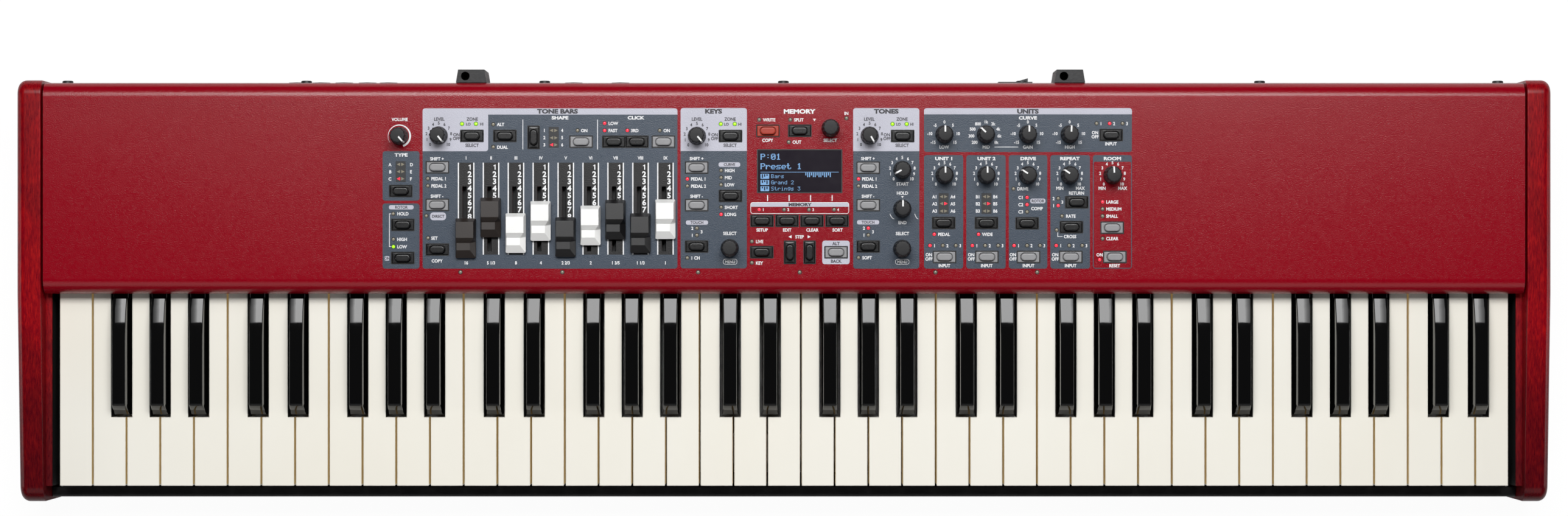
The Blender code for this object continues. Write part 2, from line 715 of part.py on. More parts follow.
def build_black_keys():
    """Groups of five black keys whose tails run back to a common hinge strip."""
    head = black_head_mesh()
    for index, (first, last) in enumerate(octaves(), 1):
        name = f"black_keys_{index}"
        centres = [black_centre(n) for n in range(first, last) if black_centre(n) is not None]
        strip = bmesh.new()
        span = (centres[0] - BLACK_BASE, centres[-1] + BLACK_BASE)
        add_box(strip, span, (STRIP_FRONT_Y, HINGE_Y), BLACK_TAIL_Z)
        keys = add_object(name, mesh_from(strip, name), "gloss_black")
        heads = bmesh.new()
        for centre in centres:
            moved = head.copy()
            moved.transform(Matrix.Translation((centre, 0, 0)))
            heads.from_mesh(moved)
            bpy.data.meshes.remove(moved)
        boolean(keys, add_guide(f"{name}_heads", mesh_from(heads, name)), "UNION")
        set_origin(keys, (0, HINGE_Y, BLACK_HINGE_Z))
    bpy.data.meshes.remove(head)


# Keybed frame: base sheet, guide rail with one post for each white key, hinge wall
def build_keybed_frame():
    """A folded sheet; the guide rail and the hinge seat are hollow and open below."""
    base_z = FOOT_HEIGHT + TRAY_SHEET + FIT
    seat_front = BED_REAR_Y - HINGE_WALL - SEAT_DEPTH
    profile = [
        (BED_FRONT_Y, base_z),
        (GUIDE_FRONT_Y + BED_SHEET, base_z),
        (GUIDE_FRONT_Y + BED_SHEET, GUIDE_TOP_Z - BED_SHEET),
        (GUIDE_REAR_Y - BED_SHEET, GUIDE_TOP_Z - BED_SHEET),
        (GUIDE_REAR_Y - BED_SHEET, base_z),
        (seat_front + BED_SHEET, base_z),
        (seat_front + BED_SHEET, seat_top() - BED_SHEET),
        (BED_REAR_Y - BED_SHEET, seat_top() - BED_SHEET),
        (BED_REAR_Y - BED_SHEET, base_z),
        (BED_REAR_Y, base_z),
        (BED_REAR_Y, HINGE_WALL_TOP_Z),
        (BED_REAR_Y - HINGE_WALL, HINGE_WALL_TOP_Z),
        (BED_REAR_Y - HINGE_WALL, seat_top()),
        (seat_front, seat_top()),
        (seat_front, base_z + BED_SHEET),
        (GUIDE_REAR_Y, base_z + BED_SHEET),
        (GUIDE_REAR_Y, GUIDE_TOP_Z),
        (GUIDE_FRONT_Y, GUIDE_TOP_Z),
        (GUIDE_FRONT_Y, base_z + BED_SHEET),
        (BED_FRONT_Y, base_z + BED_SHEET),
    ]
    mesh = prism_mesh("keybed_frame", [profile], -BED_HALF_X, BED_HALF_X, "X")
    frame = add_object("keybed_frame", mesh, "zinc_steel")
    posts = bmesh.new()
    middle = (GUIDE_FRONT_Y + GUIDE_REAR_Y) / 2
    for number in range(WHITE_COUNT):
        centre = (key_left(number) + key_right(number)) / 2
        add_block(posts, (centre, middle), (POST_WIDTH, POST_LENGTH), (GUIDE_TOP_Z - SINK, POST_TOP_Z))
    boolean(frame, add_guide("guide_posts", mesh_from(posts, "guide_posts")), "UNION")


def seat_top():
    """Height of the seat under the white hinge strips, clear of them at full travel."""
    drop = SEAT_DEPTH * math.sin(math.radians(KEY_TRAVEL_DEG))
    return KEY_BOTTOM_Z - drop - FIT


# Wooden cheeks
def cheek_profile():
    slope = math.atan2(CHEEK_TOP_Z - CHEEK_NOSE_Z, CHEEK_SLOPE_Y - CHEEK_FRONT_Y - CHEEK_FRONT_RADIUS)
    slope_deg = math.degrees(slope)
    front_centre = (CHEEK_FRONT_Y + CHEEK_FRONT_RADIUS, CHEEK_NOSE_Z - CHEEK_FRONT_RADIUS)
    rear_centre = (CHEEK_REAR_Y - CHEEK_REAR_RADIUS, CHEEK_TOP_Z - CHEEK_REAR_RADIUS)
    points = [(CHEEK_REAR_Y, FOOT_HEIGHT), (CHEEK_FRONT_Y, FOOT_HEIGHT)]
    points.extend(arc(front_centre, CHEEK_FRONT_RADIUS, 180, 90 + slope_deg, 6))
    points.append((CHEEK_SLOPE_Y, CHEEK_TOP_Z))
    points.extend(arc(rear_centre, CHEEK_REAR_RADIUS, 90, 0, 5))
    return points


def build_cheek(name, side):
    """One cheek, with the ledge inside that meets the keys and the cover."""
    low, high = sorted((side * LEDGE_INNER_X, side * CHEEK_OUTER_X))
    bm = bmesh.new()
    bm.from_mesh(prism_mesh(name, [cheek_profile()], low, high, "X"))
    outer = side * CHEEK_OUTER_X
    edges = [edge for edge in bm.edges if all(abs(v.co.x - outer) < SINK for v in edge.verts)]
    bmesh.ops.bevel(bm, geom=edges, offset=CHEEK_EDGE_RADIUS, segments=3, profile=0.5, affect="EDGES")
    cheek = add_object(name, mesh_from(bm, name), "red_wood")
    past = CHEEK_EDGE_RADIUS
    ledge_rear = COVER_REAR_Y - COVER_SHEET - FIT
    inner = sorted((side * (LEDGE_INNER_X - past), side * CHEEK_INNER_X))
    rebate = [
        (CHEEK_REAR_Y + past, CHEEK_TOP_Z + past),
        (CHEEK_FRONT_Y - past, CHEEK_TOP_Z + past),
        (CHEEK_FRONT_Y - past, FOOT_HEIGHT - past),
        (LEDGE_FRONT_Y, FOOT_HEIGHT - past),
        (LEDGE_FRONT_Y, LEDGE_TOP_Z),
        (ledge_rear, LEDGE_TOP_Z),
        (ledge_rear, FOOT_HEIGHT - past),
        (CHEEK_REAR_Y + past, FOOT_HEIGHT - past),
    ]
    cutter = prism_mesh(f"{name}_rebate", [rebate], *inner, "X")
    boolean(cheek, add_guide(f"{name}_rebate", cutter), "DIFFERENCE")


# Top cover: a bent sheet with side flanges and its cut-outs
def cover_path(inset):
    """Side view of the sheet from the lip over the top to the foot of the rear wall."""
    lip_centre = (COVER_LIP_Y + LIP_RADIUS, COVER_TOP_Z - LIP_RADIUS)
    rear_centre = (COVER_REAR_Y - REAR_RADIUS, COVER_TOP_Z - REAR_RADIUS)
    points = [(COVER_LIP_Y + inset, COVER_LIP_Z)]
    points.extend(arc(lip_centre, LIP_RADIUS - inset, 180, 90, 6))
    points.extend(arc(rear_centre, REAR_RADIUS - inset, 90, 0, 6))
    points.append((COVER_REAR_Y - inset, FOOT_HEIGHT + TRAY_SHEET + FIT))
    return points


def side_flange_outline():
    """Outline of a flange folded down at each end, ending at the height of the lip."""
    points = cover_path(COVER_SHEET / 2)
    points[-1] = (points[-1][0], COVER_LIP_Z + FIT)
    points[0] = (points[0][0], COVER_LIP_Z + FIT)
    return points


def panel_cutouts():
    """Cutters through the panel for buttons, shafts, drawbar stems and the display."""
    cuts = bmesh.new()
    through = (COVER_TOP_Z - 2 * COVER_SHEET, COVER_TOP_Z + COVER_SHEET)
    for x, y, upright in all_buttons():
        add_block(cuts, (x, y), upright_size(BEZEL, upright), through)
    for x, y in KNOBS.values():
        add_cylinder(cuts, (x, y), SHAFT_RADIUS + RUNNING, *through, SHAFT_SIDES)
    for index in range(DRAWBAR_COUNT):
        centre = drawbar_x(index) + DRAWBAR_SLOT_OFFSET
        add_box(cuts, (centre - DRAWBAR_SLOT / 2, centre + DRAWBAR_SLOT / 2), DRAWBAR_SLOT_Y, through)
    add_block(cuts, (DISPLAY_X, DISPLAY_Y), DISPLAY_SIZE, through)
    return mesh_from(cuts, "panel_cutouts")


def rear_cutouts():
    """Cutters through the rear wall, one for each socket."""
    cuts = bmesh.new()
    through = (COVER_REAR_Y - 2 * COVER_SHEET, COVER_REAR_Y + COVER_SHEET)
    for x in JACK_XS + [MINI_JACK_X]:
        add_cylinder(cuts, (x, SOCKET_Z), JACK_BUSH + RUNNING, *through, BUSH_SIDES, "Y")
    for x in DIN_XS:
        add_cylinder(cuts, (x, SOCKET_Z), DIN_RADIUS + FIT, *through, DIN_SIDES, "Y")
    add_rear_box(cuts, USB_X, SOCKET_Z, grown(USB_SIZE, FIT), through)
    add_rear_box(cuts, POWER_X, INLET_Z, grown(INLET_SIZE, FIT), through)
    add_rear_box(cuts, POWER_X, ROCKER_Z, grown(ROCKER_COLLAR, FIT), through)
    return mesh_from(cuts, "rear_cutouts")


def grown(size, by):
    return (size[0] + 2 * by, size[1] + 2 * by)


def add_rear_box(bm, x, z, size, y):
    half_x = size[0] / 2
    half_z = size[1] / 2
    return add_box(bm, (x - half_x, x + half_x), y, (z - half_z, z + half_z))


def build_top_cover():
    sheet = cover_path(0) + cover_path(COVER_SHEET)[::-1]
    mesh = prism_mesh("top_cover", [sheet], -COVER_HALF_X, COVER_HALF_X, "X")
    cover = add_object("top_cover", mesh, "red_paint")
    for side, sign in (("left", -1), ("right", 1)):
        low, high = sorted((sign * (COVER_HALF_X - COVER_SHEET), sign * (COVER_HALF_X - SINK)))
        flange = prism_mesh(f"flange_{side}", [side_flange_outline()], low, high, "X")
        boolean(cover, add_guide(f"flange_{side}", flange), "UNION")
    boolean(cover, add_guide("panel_cutouts", panel_cutouts()), "DIFFERENCE", crossing=True)
    boolean(cover, add_guide("rear_cutouts", rear_cutouts()), "DIFFERENCE")


# Bottom tray, its folded front rail and the rubber feet
def tray_outline():
    """Closed section of the tray sheet, from the rear flange to the front rail's hem."""
    floor = FOOT_HEIGHT
    rear = COVER_REAR_Y - COVER_SHEET - FIT
    centre = (RAIL_FRONT_Y + RAIL_RADIUS, RAIL_TOP_Z - RAIL_RADIUS)
    hem = RAIL_TOP_Z - TRAY_FLANGE
    points = [(rear, floor), (RAIL_FRONT_Y, floor)]
    points.extend(arc(centre, RAIL_RADIUS, 180, 90, 3))
    points.append((RAIL_REAR_Y, RAIL_TOP_Z))
    points.append((RAIL_REAR_Y, hem))
    points.append((RAIL_REAR_Y - TRAY_SHEET, hem))
    points.append((RAIL_REAR_Y - TRAY_SHEET, RAIL_TOP_Z - TRAY_SHEET))
    points.append((RAIL_FRONT_Y + TRAY_SHEET, RAIL_TOP_Z - TRAY_SHEET))
    points.append((RAIL_FRONT_Y + TRAY_SHEET, floor + TRAY_SHEET))
    points.append((rear - TRAY_SHEET, floor + TRAY_SHEET))
    points.append((rear - TRAY_SHEET, floor + TRAY_FLANGE))
    points.append((rear, floor + TRAY_FLANGE))
    return points


def build_bottom_tray():
    half = CHEEK_INNER_X - FIT
    mesh = prism_mesh("bottom_tray", [tray_outline()], -half, half, "X")
    tray = add_object("bottom_tray", mesh, "black_steel")
    room = bmesh.new()
    sides = bmesh.new()
    edge = LEDGE_INNER_X - FIT
    rear = COVER_REAR_Y - COVER_SHEET - FIT
    for side in (-1, 1):
        cut = sorted((side * edge, side * CHEEK_OUTER_X))
        add_box(room, cut, (LEDGE_FRONT_Y - FIT, rear + TRAY_FLANGE), (0, CHEEK_TOP_Z))
        flange = sorted((side * edge, side * (edge - TRAY_SHEET)))
        add_box(
            sides, flange, (LEDGE_FRONT_Y, rear - TRAY_FLANGE),
            (FOOT_HEIGHT + TRAY_SHEET / 2, FOOT_HEIGHT + TRAY_FLANGE),
        )
    boolean(tray, add_guide("cheek_room", mesh_from(room, "cheek_room")), "DIFFERENCE")
    boolean(tray, add_guide("side_flanges", mesh_from(sides, "side_flanges")), "UNION")


def build_feet():
    """Turned rubber feet, a little narrower where they meet the table."""
    for row, y in (("front", -FOOT_Y), ("rear", FOOT_Y)):
        for side, x in (("left", -FOOT_X), ("right", FOOT_X)):
            bm = bmesh.new()
            narrow = FOOT_RADIUS * FOOT_DRAFT
            add_cylinder(bm, (0, 0), narrow, 0, FOOT_HEIGHT - FIT, FOOT_SIDES, top_radius=FOOT_RADIUS)
            foot = add_object(f"foot_{row}_{side}", mesh_from(bm, "foot"), "rubber", (x, y, 0))
            smooth(foot)


# Electronics under the panel
def build_control_board():
    """The panel board with pots, drawbar sliders, switches, display module and posts."""
    low = BOARD_TOP_Z - BOARD_THICK
    sheet = bmesh.new()
    add_box(sheet, BOARD_X, BOARD_Y, (low, BOARD_TOP_Z))
    board = add_object("control_board", mesh_from(sheet, "control_board"), "circuit_board")
    holes = bmesh.new()
    for x, y in KNOBS.values():
        add_cylinder(holes, (x, y), SHAFT_RADIUS + RUNNING, low - SINK, BOARD_TOP_Z + SINK, SHAFT_SIDES)
    boolean(board, add_guide("shaft_holes", mesh_from(holes, "shaft_holes")), "DIFFERENCE")
    below = bmesh.new()
    for x, y in KNOBS.values():
        add_block(below, (x, y), (POT_SIZE, POT_SIZE), (low - POT_HEIGHT, low + SINK))
    slot_middle = sum(DRAWBAR_SLOT_Y) / 2
    slot_length = DRAWBAR_SLOT_Y[1] - DRAWBAR_SLOT_Y[0]
    for index in range(DRAWBAR_COUNT):
        centre = (drawbar_x(index) + DRAWBAR_SLOT_OFFSET, slot_middle)
        size = (SLIDER_WIDTH, slot_length + SLIDER_WIDTH)
        add_block(below, centre, size, (low - SLIDER_HEIGHT, low + SINK))
    boolean(board, add_guide("pots_and_sliders", mesh_from(below, "pots_and_sliders")), "UNION")
    above = bmesh.new()
    for x, y, _ in all_buttons():
        add_block(above, (x, y), (SWITCH_SIZE, SWITCH_SIZE), (BOARD_TOP_Z - SINK, BOARD_TOP_Z + SWITCH_HEIGHT))
    pane_bottom = COVER_TOP_Z - PANE_THICK
    add_block(above, (DISPLAY_X, DISPLAY_Y), DISPLAY_SIZE, (BOARD_TOP_Z - SINK, pane_bottom - FIT))
    for x in POST_XS:
        for y in (BOARD_Y[0] + POST_INSET, BOARD_Y[1] - POST_INSET):
            top = COVER_TOP_Z - COVER_SHEET - FIT
            add_cylinder(above, (x, y), POST_RADIUS, BOARD_TOP_Z - SINK, top, POST_SIDES)
    boolean(board, add_guide("board_parts", mesh_from(above, "board_parts")), "UNION")
    channels = bmesh.new()
    for index in range(DRAWBAR_COUNT):
        centre = (drawbar_x(index) + DRAWBAR_SLOT_OFFSET, slot_middle)
        size = (STEM_WIDTH + 2 * RUNNING, slot_length)
        add_block(channels, centre, size, (STEM_BOTTOM_Z - RUNNING, BOARD_TOP_Z + SINK))
    boolean(board, add_guide("slider_channels", mesh_from(channels, "slider_channels")), "DIFFERENCE")


def build_display_window():
    bm = bmesh.new()
    size = grown(DISPLAY_SIZE, -FIT)
    add_block(bm, (DISPLAY_X, DISPLAY_Y), size, (COVER_TOP_Z - PANE_THICK, COVER_TOP_Z - SINK))
    add_object("display_window", mesh_from(bm, "display_window"), "display_glass")


# Knobs: fluted body and shaft in one turned piece
def knob_mesh():
    points = []
    for i in range(2 * KNOB_FLUTES):
        angle = math.pi * i / KNOB_FLUTES
        radius = KNOB_RADIUS - (i % 2) * KNOB_FLUTE
        points.append((radius * math.cos(angle), radius * math.sin(angle)))
    low = COVER_TOP_Z + KNOB_LIFT
    high = COVER_TOP_Z + KNOB_HEIGHT
    mesh = prism_mesh("knob", [points], low, high)
    for vertex in mesh.vertices:
        if vertex.co.z > (low + high) / 2:
            vertex.co.x *= KNOB_TOP_RADIUS / KNOB_RADIUS
            vertex.co.y *= KNOB_TOP_RADIUS / KNOB_RADIUS
    knob = add_object("knob", mesh, "matte_black")
    shaft = bmesh.new()
    shaft_bottom = BOARD_TOP_Z - BOARD_THICK + SINK + FIT
    add_cylinder(shaft, (0, 0), SHAFT_RADIUS, shaft_bottom, low + KNOB_LIFT, SHAFT_SIDES)
    guide = add_guide("knob_shaft", mesh_from(shaft, "knob_shaft"))
    boolean(knob, guide, "UNION")
    made = frozen_mesh(knob)
    bpy.data.objects.remove(guide)
    return made


def build_knobs():
    mesh = knob_mesh()
    for name, (x, y) in KNOBS.items():
        add_object(name, mesh, "matte_black", (x, y, 0))


# Drawbars: stepped caps on a stem that runs in the slider
def drawbar_x(index):
    return DRAWBAR_X + index * DRAWBAR_PITCH


def drawbar_profile(rear):
    """Side outline of a cap, seen from the right, with its steps and bevels."""
    base = COVER_TOP_Z + DRAWBAR_LIFT
    top = COVER_TOP_Z + DRAWBAR_HEIGHT
    nose = COVER_TOP_Z + NOSE_HEIGHT
    front = rear - DRAWBAR_LENGTH
    flat_rear = rear - CAP_REAR_BEVEL[0]
    nose_rear = nose_start(rear)
    return [
        (rear, base),
        (rear, top - CAP_REAR_BEVEL[1]),
        (flat_rear, top),
        (flat_rear - CAP_FLAT, top),
        (nose_rear, nose),
        (nose_rear - NOSE_LENGTH, nose),
        (front, base + NOSE_EDGE),
        (front, base),
    ]


def nose_start(rear):
    """Where the lower nose of a cap begins, in front of its step."""
    return rear - CAP_REAR_BEVEL[0] - CAP_FLAT - CAP_STEP


def build_drawbar(index):
    name = f"drawbar_{index + 1}"
    x = drawbar_x(index)
    rear = DRAWBAR_REAR_Y[index]
    half = DRAWBAR_WIDTH / 2
    mesh = prism_mesh(name, [drawbar_profile(rear)], -half, half, "X")
    base = COVER_TOP_Z + DRAWBAR_LIFT
    draft = (1 - DRAWBAR_TOP_WIDTH / DRAWBAR_WIDTH) / (DRAWBAR_HEIGHT - DRAWBAR_LIFT)
    for vertex in mesh.vertices:
        vertex.co.x = x + vertex.co.x * (1 - draft * (vertex.co.z - base))
    finish = "white_plastic"
    if index in BROWN_BARS:
        finish = "brown_plastic"
    elif index in BLACK_BARS:
        finish = "matte_black"
    bar = add_object(name, mesh, finish)
    sides = [nose_side(x, rear, side) for side in (-1, 1)]
    cutter = prism_mesh(f"{name}_nose", sides, base + DRAWBAR_SKIRT, base + DRAWBAR_HEIGHT)
    boolean(bar, add_guide(f"{name}_nose", cutter), "DIFFERENCE")
    stem = bmesh.new()
    centre = (x + DRAWBAR_SLOT_OFFSET, rear - STEM_BACK)
    add_block(stem, centre, (STEM_WIDTH, STEM_LENGTH), (STEM_BOTTOM_Z, base + FIT))
    boolean(bar, add_guide(f"{name}_stem", mesh_from(stem, name)), "UNION")
    set_origin(bar, (x, rear - STEM_BACK, COVER_TOP_Z))


def nose_side(x, rear, side):
    """Plan of what is cut away beside the nose, with a diagonal towards the step."""
    inner = x + NOSE_OFFSET + side * NOSE_WIDTH / 2
    outer = x + side * DRAWBAR_WIDTH
    start = nose_start(rear)
    front = rear - DRAWBAR_LENGTH - NOSE_EDGE
    return [(inner, front), (outer, front), (outer, start + abs(outer - inner)), (inner, start)]


# Buttons: pills on plates, moulded on one rubber mat for each section
def stadium(centre, size, upright):
    """Outline of a pill: two half circles joined by straight sides."""
    width, height = size
    radius = height / 2
    reach = width / 2 - radius
    points = arc((reach, 0), radius, -90, 90, PILL_ARC_POINTS - 1)
    points += arc((-reach, 0), radius, 90, 270, PILL_ARC_POINTS - 1)
    if upright:
        points = [(-v, u) for u, v in points]
    return [(centre[0] + u, centre[1] + v) for u, v in points]


def build_button_mat(name, buttons):
    outline = MAT_OUTLINES[name]
    mat = add_object(name, prism_mesh(name, [outline], *MAT_Z), "grey_rubber")
    shafts = [place for place in KNOBS.values() if on_sheet(*place, outline)]
    if shafts:
        holes = bmesh.new()
        for shaft in shafts:
            add_cylinder(holes, shaft, MAT_HOLE_RADIUS, MAT_Z[0] - SINK, MAT_Z[1] + SINK, SHAFT_SIDES)
        boolean(mat, add_guide(f"{name}_holes", mesh_from(holes, name)), "DIFFERENCE")
    plates = bmesh.new()
    for x, y, upright in buttons:
        size = upright_size(PLATE, upright)
        add_block(plates, (x, y), size, (MAT_Z[1] - SINK, PLATE_TOP_Z))
    boolean(mat, add_guide(f"{name}_plates", mesh_from(plates, name)), "UNION")
    outlines = [stadium((x, y), PILL, upright) for x, y, upright in buttons]
    pills = prism_mesh(f"{name}_pills", outlines, PLATE_TOP_Z - SINK, PILL_TOP_Z)
    boolean(mat, add_guide(f"{name}_pills", pills), "UNION")
    middle_x = sum(x for x, _ in outline) / len(outline)
    middle_y = sum(y for _, y in outline) / len(outline)
    set_origin(mat, (middle_x, middle_y, MAT_Z[0]))


def on_sheet(x, y, outline):
    """Whether a point lies inside an outline, by counting the edges to its right."""
    inside = False
    for (x0, y0), (x1, y1) in zip(outline, outline[1:] + outline[:1]):
        if (y0 > y) != (y1 > y) and x < x0 + (y - y0) / (y1 - y0) * (x1 - x0):
            inside = not inside
    return inside


# Rear: socket board, power inlet with its rocker switch, stand holders
def build_socket_board():
    wall = COVER_REAR_Y - COVER_SHEET - FIT
    low_x = JACK_XS[0] - JACK_BODY[0]
    high_x = JACK_XS[-1] + JACK_BODY[0]
    bm = bmesh.new()
    add_box(bm, (low_x, high_x), (SOCKET_BOARD_Y, SOCKET_BOARD_Y + BOARD_THICK), SOCKET_BOARD_Z)
    board = add_object("socket_board", mesh_from(bm, "socket_board"), "matte_black")
    start = SOCKET_BOARD_Y + BOARD_THICK - SINK
    bodies = bmesh.new()
    for x in JACK_XS + [MINI_JACK_X]:
        add_rear_box(bodies, x, SOCKET_Z, JACK_BODY, (start, wall))
    for x in DIN_XS:
        add_cylinder(bodies, (x, SOCKET_Z), DIN_RADIUS, start, COVER_REAR_Y, DIN_SIDES, "Y")
    add_rear_box(bodies, USB_X, SOCKET_Z, USB_SIZE, (start, COVER_REAR_Y))
    boolean(board, add_guide("socket_bodies", mesh_from(bodies, "socket_bodies")), "UNION")
    bushes = bmesh.new()
    nuts = bmesh.new()
    for x in JACK_XS + [MINI_JACK_X]:
        nut_y = COVER_REAR_Y + FIT
        add_cylinder(bushes, (x, SOCKET_Z), JACK_BUSH, wall - SINK, nut_y + SINK, BUSH_SIDES, "Y")
        add_cylinder(nuts, (x, SOCKET_Z), JACK_NUT, nut_y, nut_y + JACK_NUT_THICK, NUT_SIDES, "Y")
    boolean(board, add_guide("jack_bushes", mesh_from(bushes, "jack_bushes")), "UNION")
    boolean(board, add_guide("jack_nuts", mesh_from(nuts, "jack_nuts")), "UNION")
    bores = bmesh.new()
    mouth = COVER_REAR_Y + FIT + JACK_NUT_THICK + SINK
    for x in JACK_XS:
        add_cylinder(bores, (x, SOCKET_Z), JACK_BORE, mouth - JACK_DEPTH, mouth, BUSH_SIDES, "Y")
    add_cylinder(bores, (MINI_JACK_X, SOCKET_Z), MINI_JACK_BORE, mouth - JACK_DEPTH, mouth, BUSH_SIDES, "Y")
    for x in DIN_XS:
        add_cylinder(bores, (x, SOCKET_Z), DIN_BORE, COVER_REAR_Y - DIN_DEPTH, mouth, DIN_SIDES, "Y")
    add_rear_box(bores, USB_X, SOCKET_Z, USB_PORT, (COVER_REAR_Y - DIN_DEPTH, mouth))
    boolean(board, add_guide("socket_bores", mesh_from(bores, "socket_bores")), "DIFFERENCE")


def build_power_inlet():
    """Mains inlet with the frame of the rocker switch above it, on one moulding."""
    wall = COVER_REAR_Y - COVER_SHEET - FIT
    bm = bmesh.new()
    back = wall - INLET_DEPTH - COVER_SHEET
    add_box(
        bm, (POWER_X - INLET_SIZE[0] / 2 - COVER_SHEET, POWER_X + INLET_SIZE[0] / 2 + COVER_SHEET),
        (back, wall), (INLET_Z - INLET_SIZE[1] / 2 - COVER_SHEET, ROCKER_Z + ROCKER_FRAME[1] / 2),
    )
    inlet = add_object("power_inlet", mesh_from(bm, "power_inlet"), "matte_black")
    collar = bmesh.new()
    add_rear_box(collar, POWER_X, INLET_Z, INLET_SIZE, (wall - SINK, COVER_REAR_Y + FIT))
    face = COVER_REAR_Y + FIT
    add_rear_box(collar, POWER_X, ROCKER_Z, ROCKER_COLLAR, (wall - SINK, face + ROCKER_FRAME_THICK / 2))
    boolean(inlet, add_guide("inlet_collars", mesh_from(collar, "inlet_collars")), "UNION")
    frame = bmesh.new()
    add_rear_box(frame, POWER_X, ROCKER_Z, ROCKER_FRAME, (face, face + ROCKER_FRAME_THICK))
    boolean(inlet, add_guide("rocker_frame", mesh_from(frame, "rocker_frame")), "UNION")
    port = bmesh.new()
    add_rear_box(port, POWER_X, INLET_Z, INLET_PORT, (wall - INLET_DEPTH, COVER_REAR_Y + COVER_SHEET))
    room = grown(ROCKER_SIZE, RUNNING)
    add_rear_box(port, POWER_X, ROCKER_Z, room, (wall - INLET_DEPTH, COVER_REAR_Y + COVER_SHEET))
    boolean(inlet, add_guide("inlet_ports", mesh_from(port, "inlet_ports")), "DIFFERENCE")


def build_power_switch():
    """Rocker with two slanted faces on a pin across its middle, pressed to its on side."""
    half_x = ROCKER_SIZE[0] / 2
    half_z = ROCKER_SIZE[1] / 2
    rise = half_x * math.tan(math.radians(ROCKER_TILT_DEG))
    pivot_y = COVER_REAR_Y - COVER_SHEET
    face = COVER_REAR_Y + FIT + ROCKER_FRAME_THICK - pivot_y
    back = face - ROCKER_DEPTH
    outline = [
        (ROCKER_TAPER - half_x, back), (half_x - ROCKER_TAPER, back),
        (half_x, face + rise), (0, face), (-half_x, face + rise),
    ]
    mesh = prism_mesh("power_switch", [outline], -half_z, half_z)
    mesh.transform(Matrix.Rotation(math.radians(ROCKER_TILT_DEG), 4, "Z"))
    add_object("power_switch", mesh, "matte_black", (POWER_X, pivot_y, ROCKER_Z))


def build_stand_holders():
    """Wedge-shaped blocks on the rear wall, each with a socket for the music stand's wire."""
    for side, x in HOLDER_XS.items():
        name = f"stand_holder_{side}"
        wall = COVER_REAR_Y + FIT
        outline = [
            (x - HOLDER_BASE / 2, wall), (x + HOLDER_BASE / 2, wall),
            (x + HOLDER_FACE / 2, wall + HOLDER_DEPTH), (x - HOLDER_FACE / 2, wall + HOLDER_DEPTH),
        ]
        holder = add_object(name, prism_mesh(name, [outline], *HOLDER_Z), "matte_black")
        bore = bmesh.new()
        centre = (x + HOLDER_BORE_X, wall + HOLDER_DEPTH / 2)
        add_cylinder(bore, centre, HOLDER_BORE, HOLDER_Z[1] - HOLDER_BORE_DEPTH, HOLDER_Z[1] + SINK, 12)
        boolean(holder, add_guide(f"{name}_bore", mesh_from(bore, name)), "DIFFERENCE")


clear_scene()
PARTS = new_collection("stage_keyboard")
GUIDES = new_collection("cutters")
build_top_cover()
build_bottom_tray()
build_cheek("cheek_left", -1)
build_cheek("cheek_right", 1)
build_feet()
build_keybed_frame()
build_white_keys()
build_black_keys()
build_control_board()
build_display_window()
build_knobs()
for bar_number in range(DRAWBAR_COUNT):
    build_drawbar(bar_number)
for mat_name, mat_buttons in MATS.items():
    build_button_mat(mat_name, mat_buttons)
build_socket_board()
build_power_inlet()
build_power_switch()
build_stand_holders()
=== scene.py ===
"""Looks of the stage keyboard: finishes, keys, knobs, drawbars, buttons, legends, lamps and camera.

Frame: metres, +X to the player's right, +Y to the rear, +Z up, origin on the table.
"""

import math

import bmesh
import bpy
from mathutils import Matrix, Vector


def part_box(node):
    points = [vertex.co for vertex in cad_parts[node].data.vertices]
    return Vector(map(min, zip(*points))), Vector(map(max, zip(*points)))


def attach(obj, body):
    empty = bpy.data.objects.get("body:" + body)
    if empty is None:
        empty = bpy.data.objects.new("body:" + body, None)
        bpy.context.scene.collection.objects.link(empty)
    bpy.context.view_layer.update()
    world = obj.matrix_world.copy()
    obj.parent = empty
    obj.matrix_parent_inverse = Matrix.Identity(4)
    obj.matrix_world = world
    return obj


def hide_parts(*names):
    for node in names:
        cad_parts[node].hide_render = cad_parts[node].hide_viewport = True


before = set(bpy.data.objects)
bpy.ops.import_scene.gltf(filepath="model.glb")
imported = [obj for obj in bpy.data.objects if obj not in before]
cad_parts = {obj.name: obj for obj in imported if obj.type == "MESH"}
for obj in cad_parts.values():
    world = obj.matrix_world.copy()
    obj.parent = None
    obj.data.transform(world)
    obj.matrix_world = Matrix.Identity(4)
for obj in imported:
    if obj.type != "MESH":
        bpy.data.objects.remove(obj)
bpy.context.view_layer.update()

MM = 0.001
# Corners nearer than this to a plane count as lying in it
NEAR = 0.1 * MM
PLAN_SHIFT = -4.7 * MM

# The photograph's frame: one pixel at the panel's height, and the pixel under the camera
PIXEL = 0.4209 * MM
CENTRE_PX = (1288, 480)

# Heights of the printed layers on the panel
PANEL_Z = 80 * MM
FIELD_Z = PANEL_Z + 0.06 * MM
BLOCK_Z = PANEL_Z + 0.1 * MM
PRINT_Z = PANEL_Z + 0.14 * MM
BEZEL_Z = PANEL_Z + 0.3 * MM


def at(px, py):
    """Where a pixel of the photograph lies on the panel."""
    return ((px - CENTRE_PX[0]) * PIXEL, (CENTRE_PX[1] - py) * PIXEL + PLAN_SHIFT)


def srgb(red, green, blue):
    """A display colour from 0 to 255 as the linear colour that Blender takes."""
    parts = []
    for value in (red, green, blue):
        share = value / 255
        parts.append(share / 12.92 if share <= 0.04045 else ((share + 0.055) / 1.055) ** 2.4)
    return (*parts, 1)


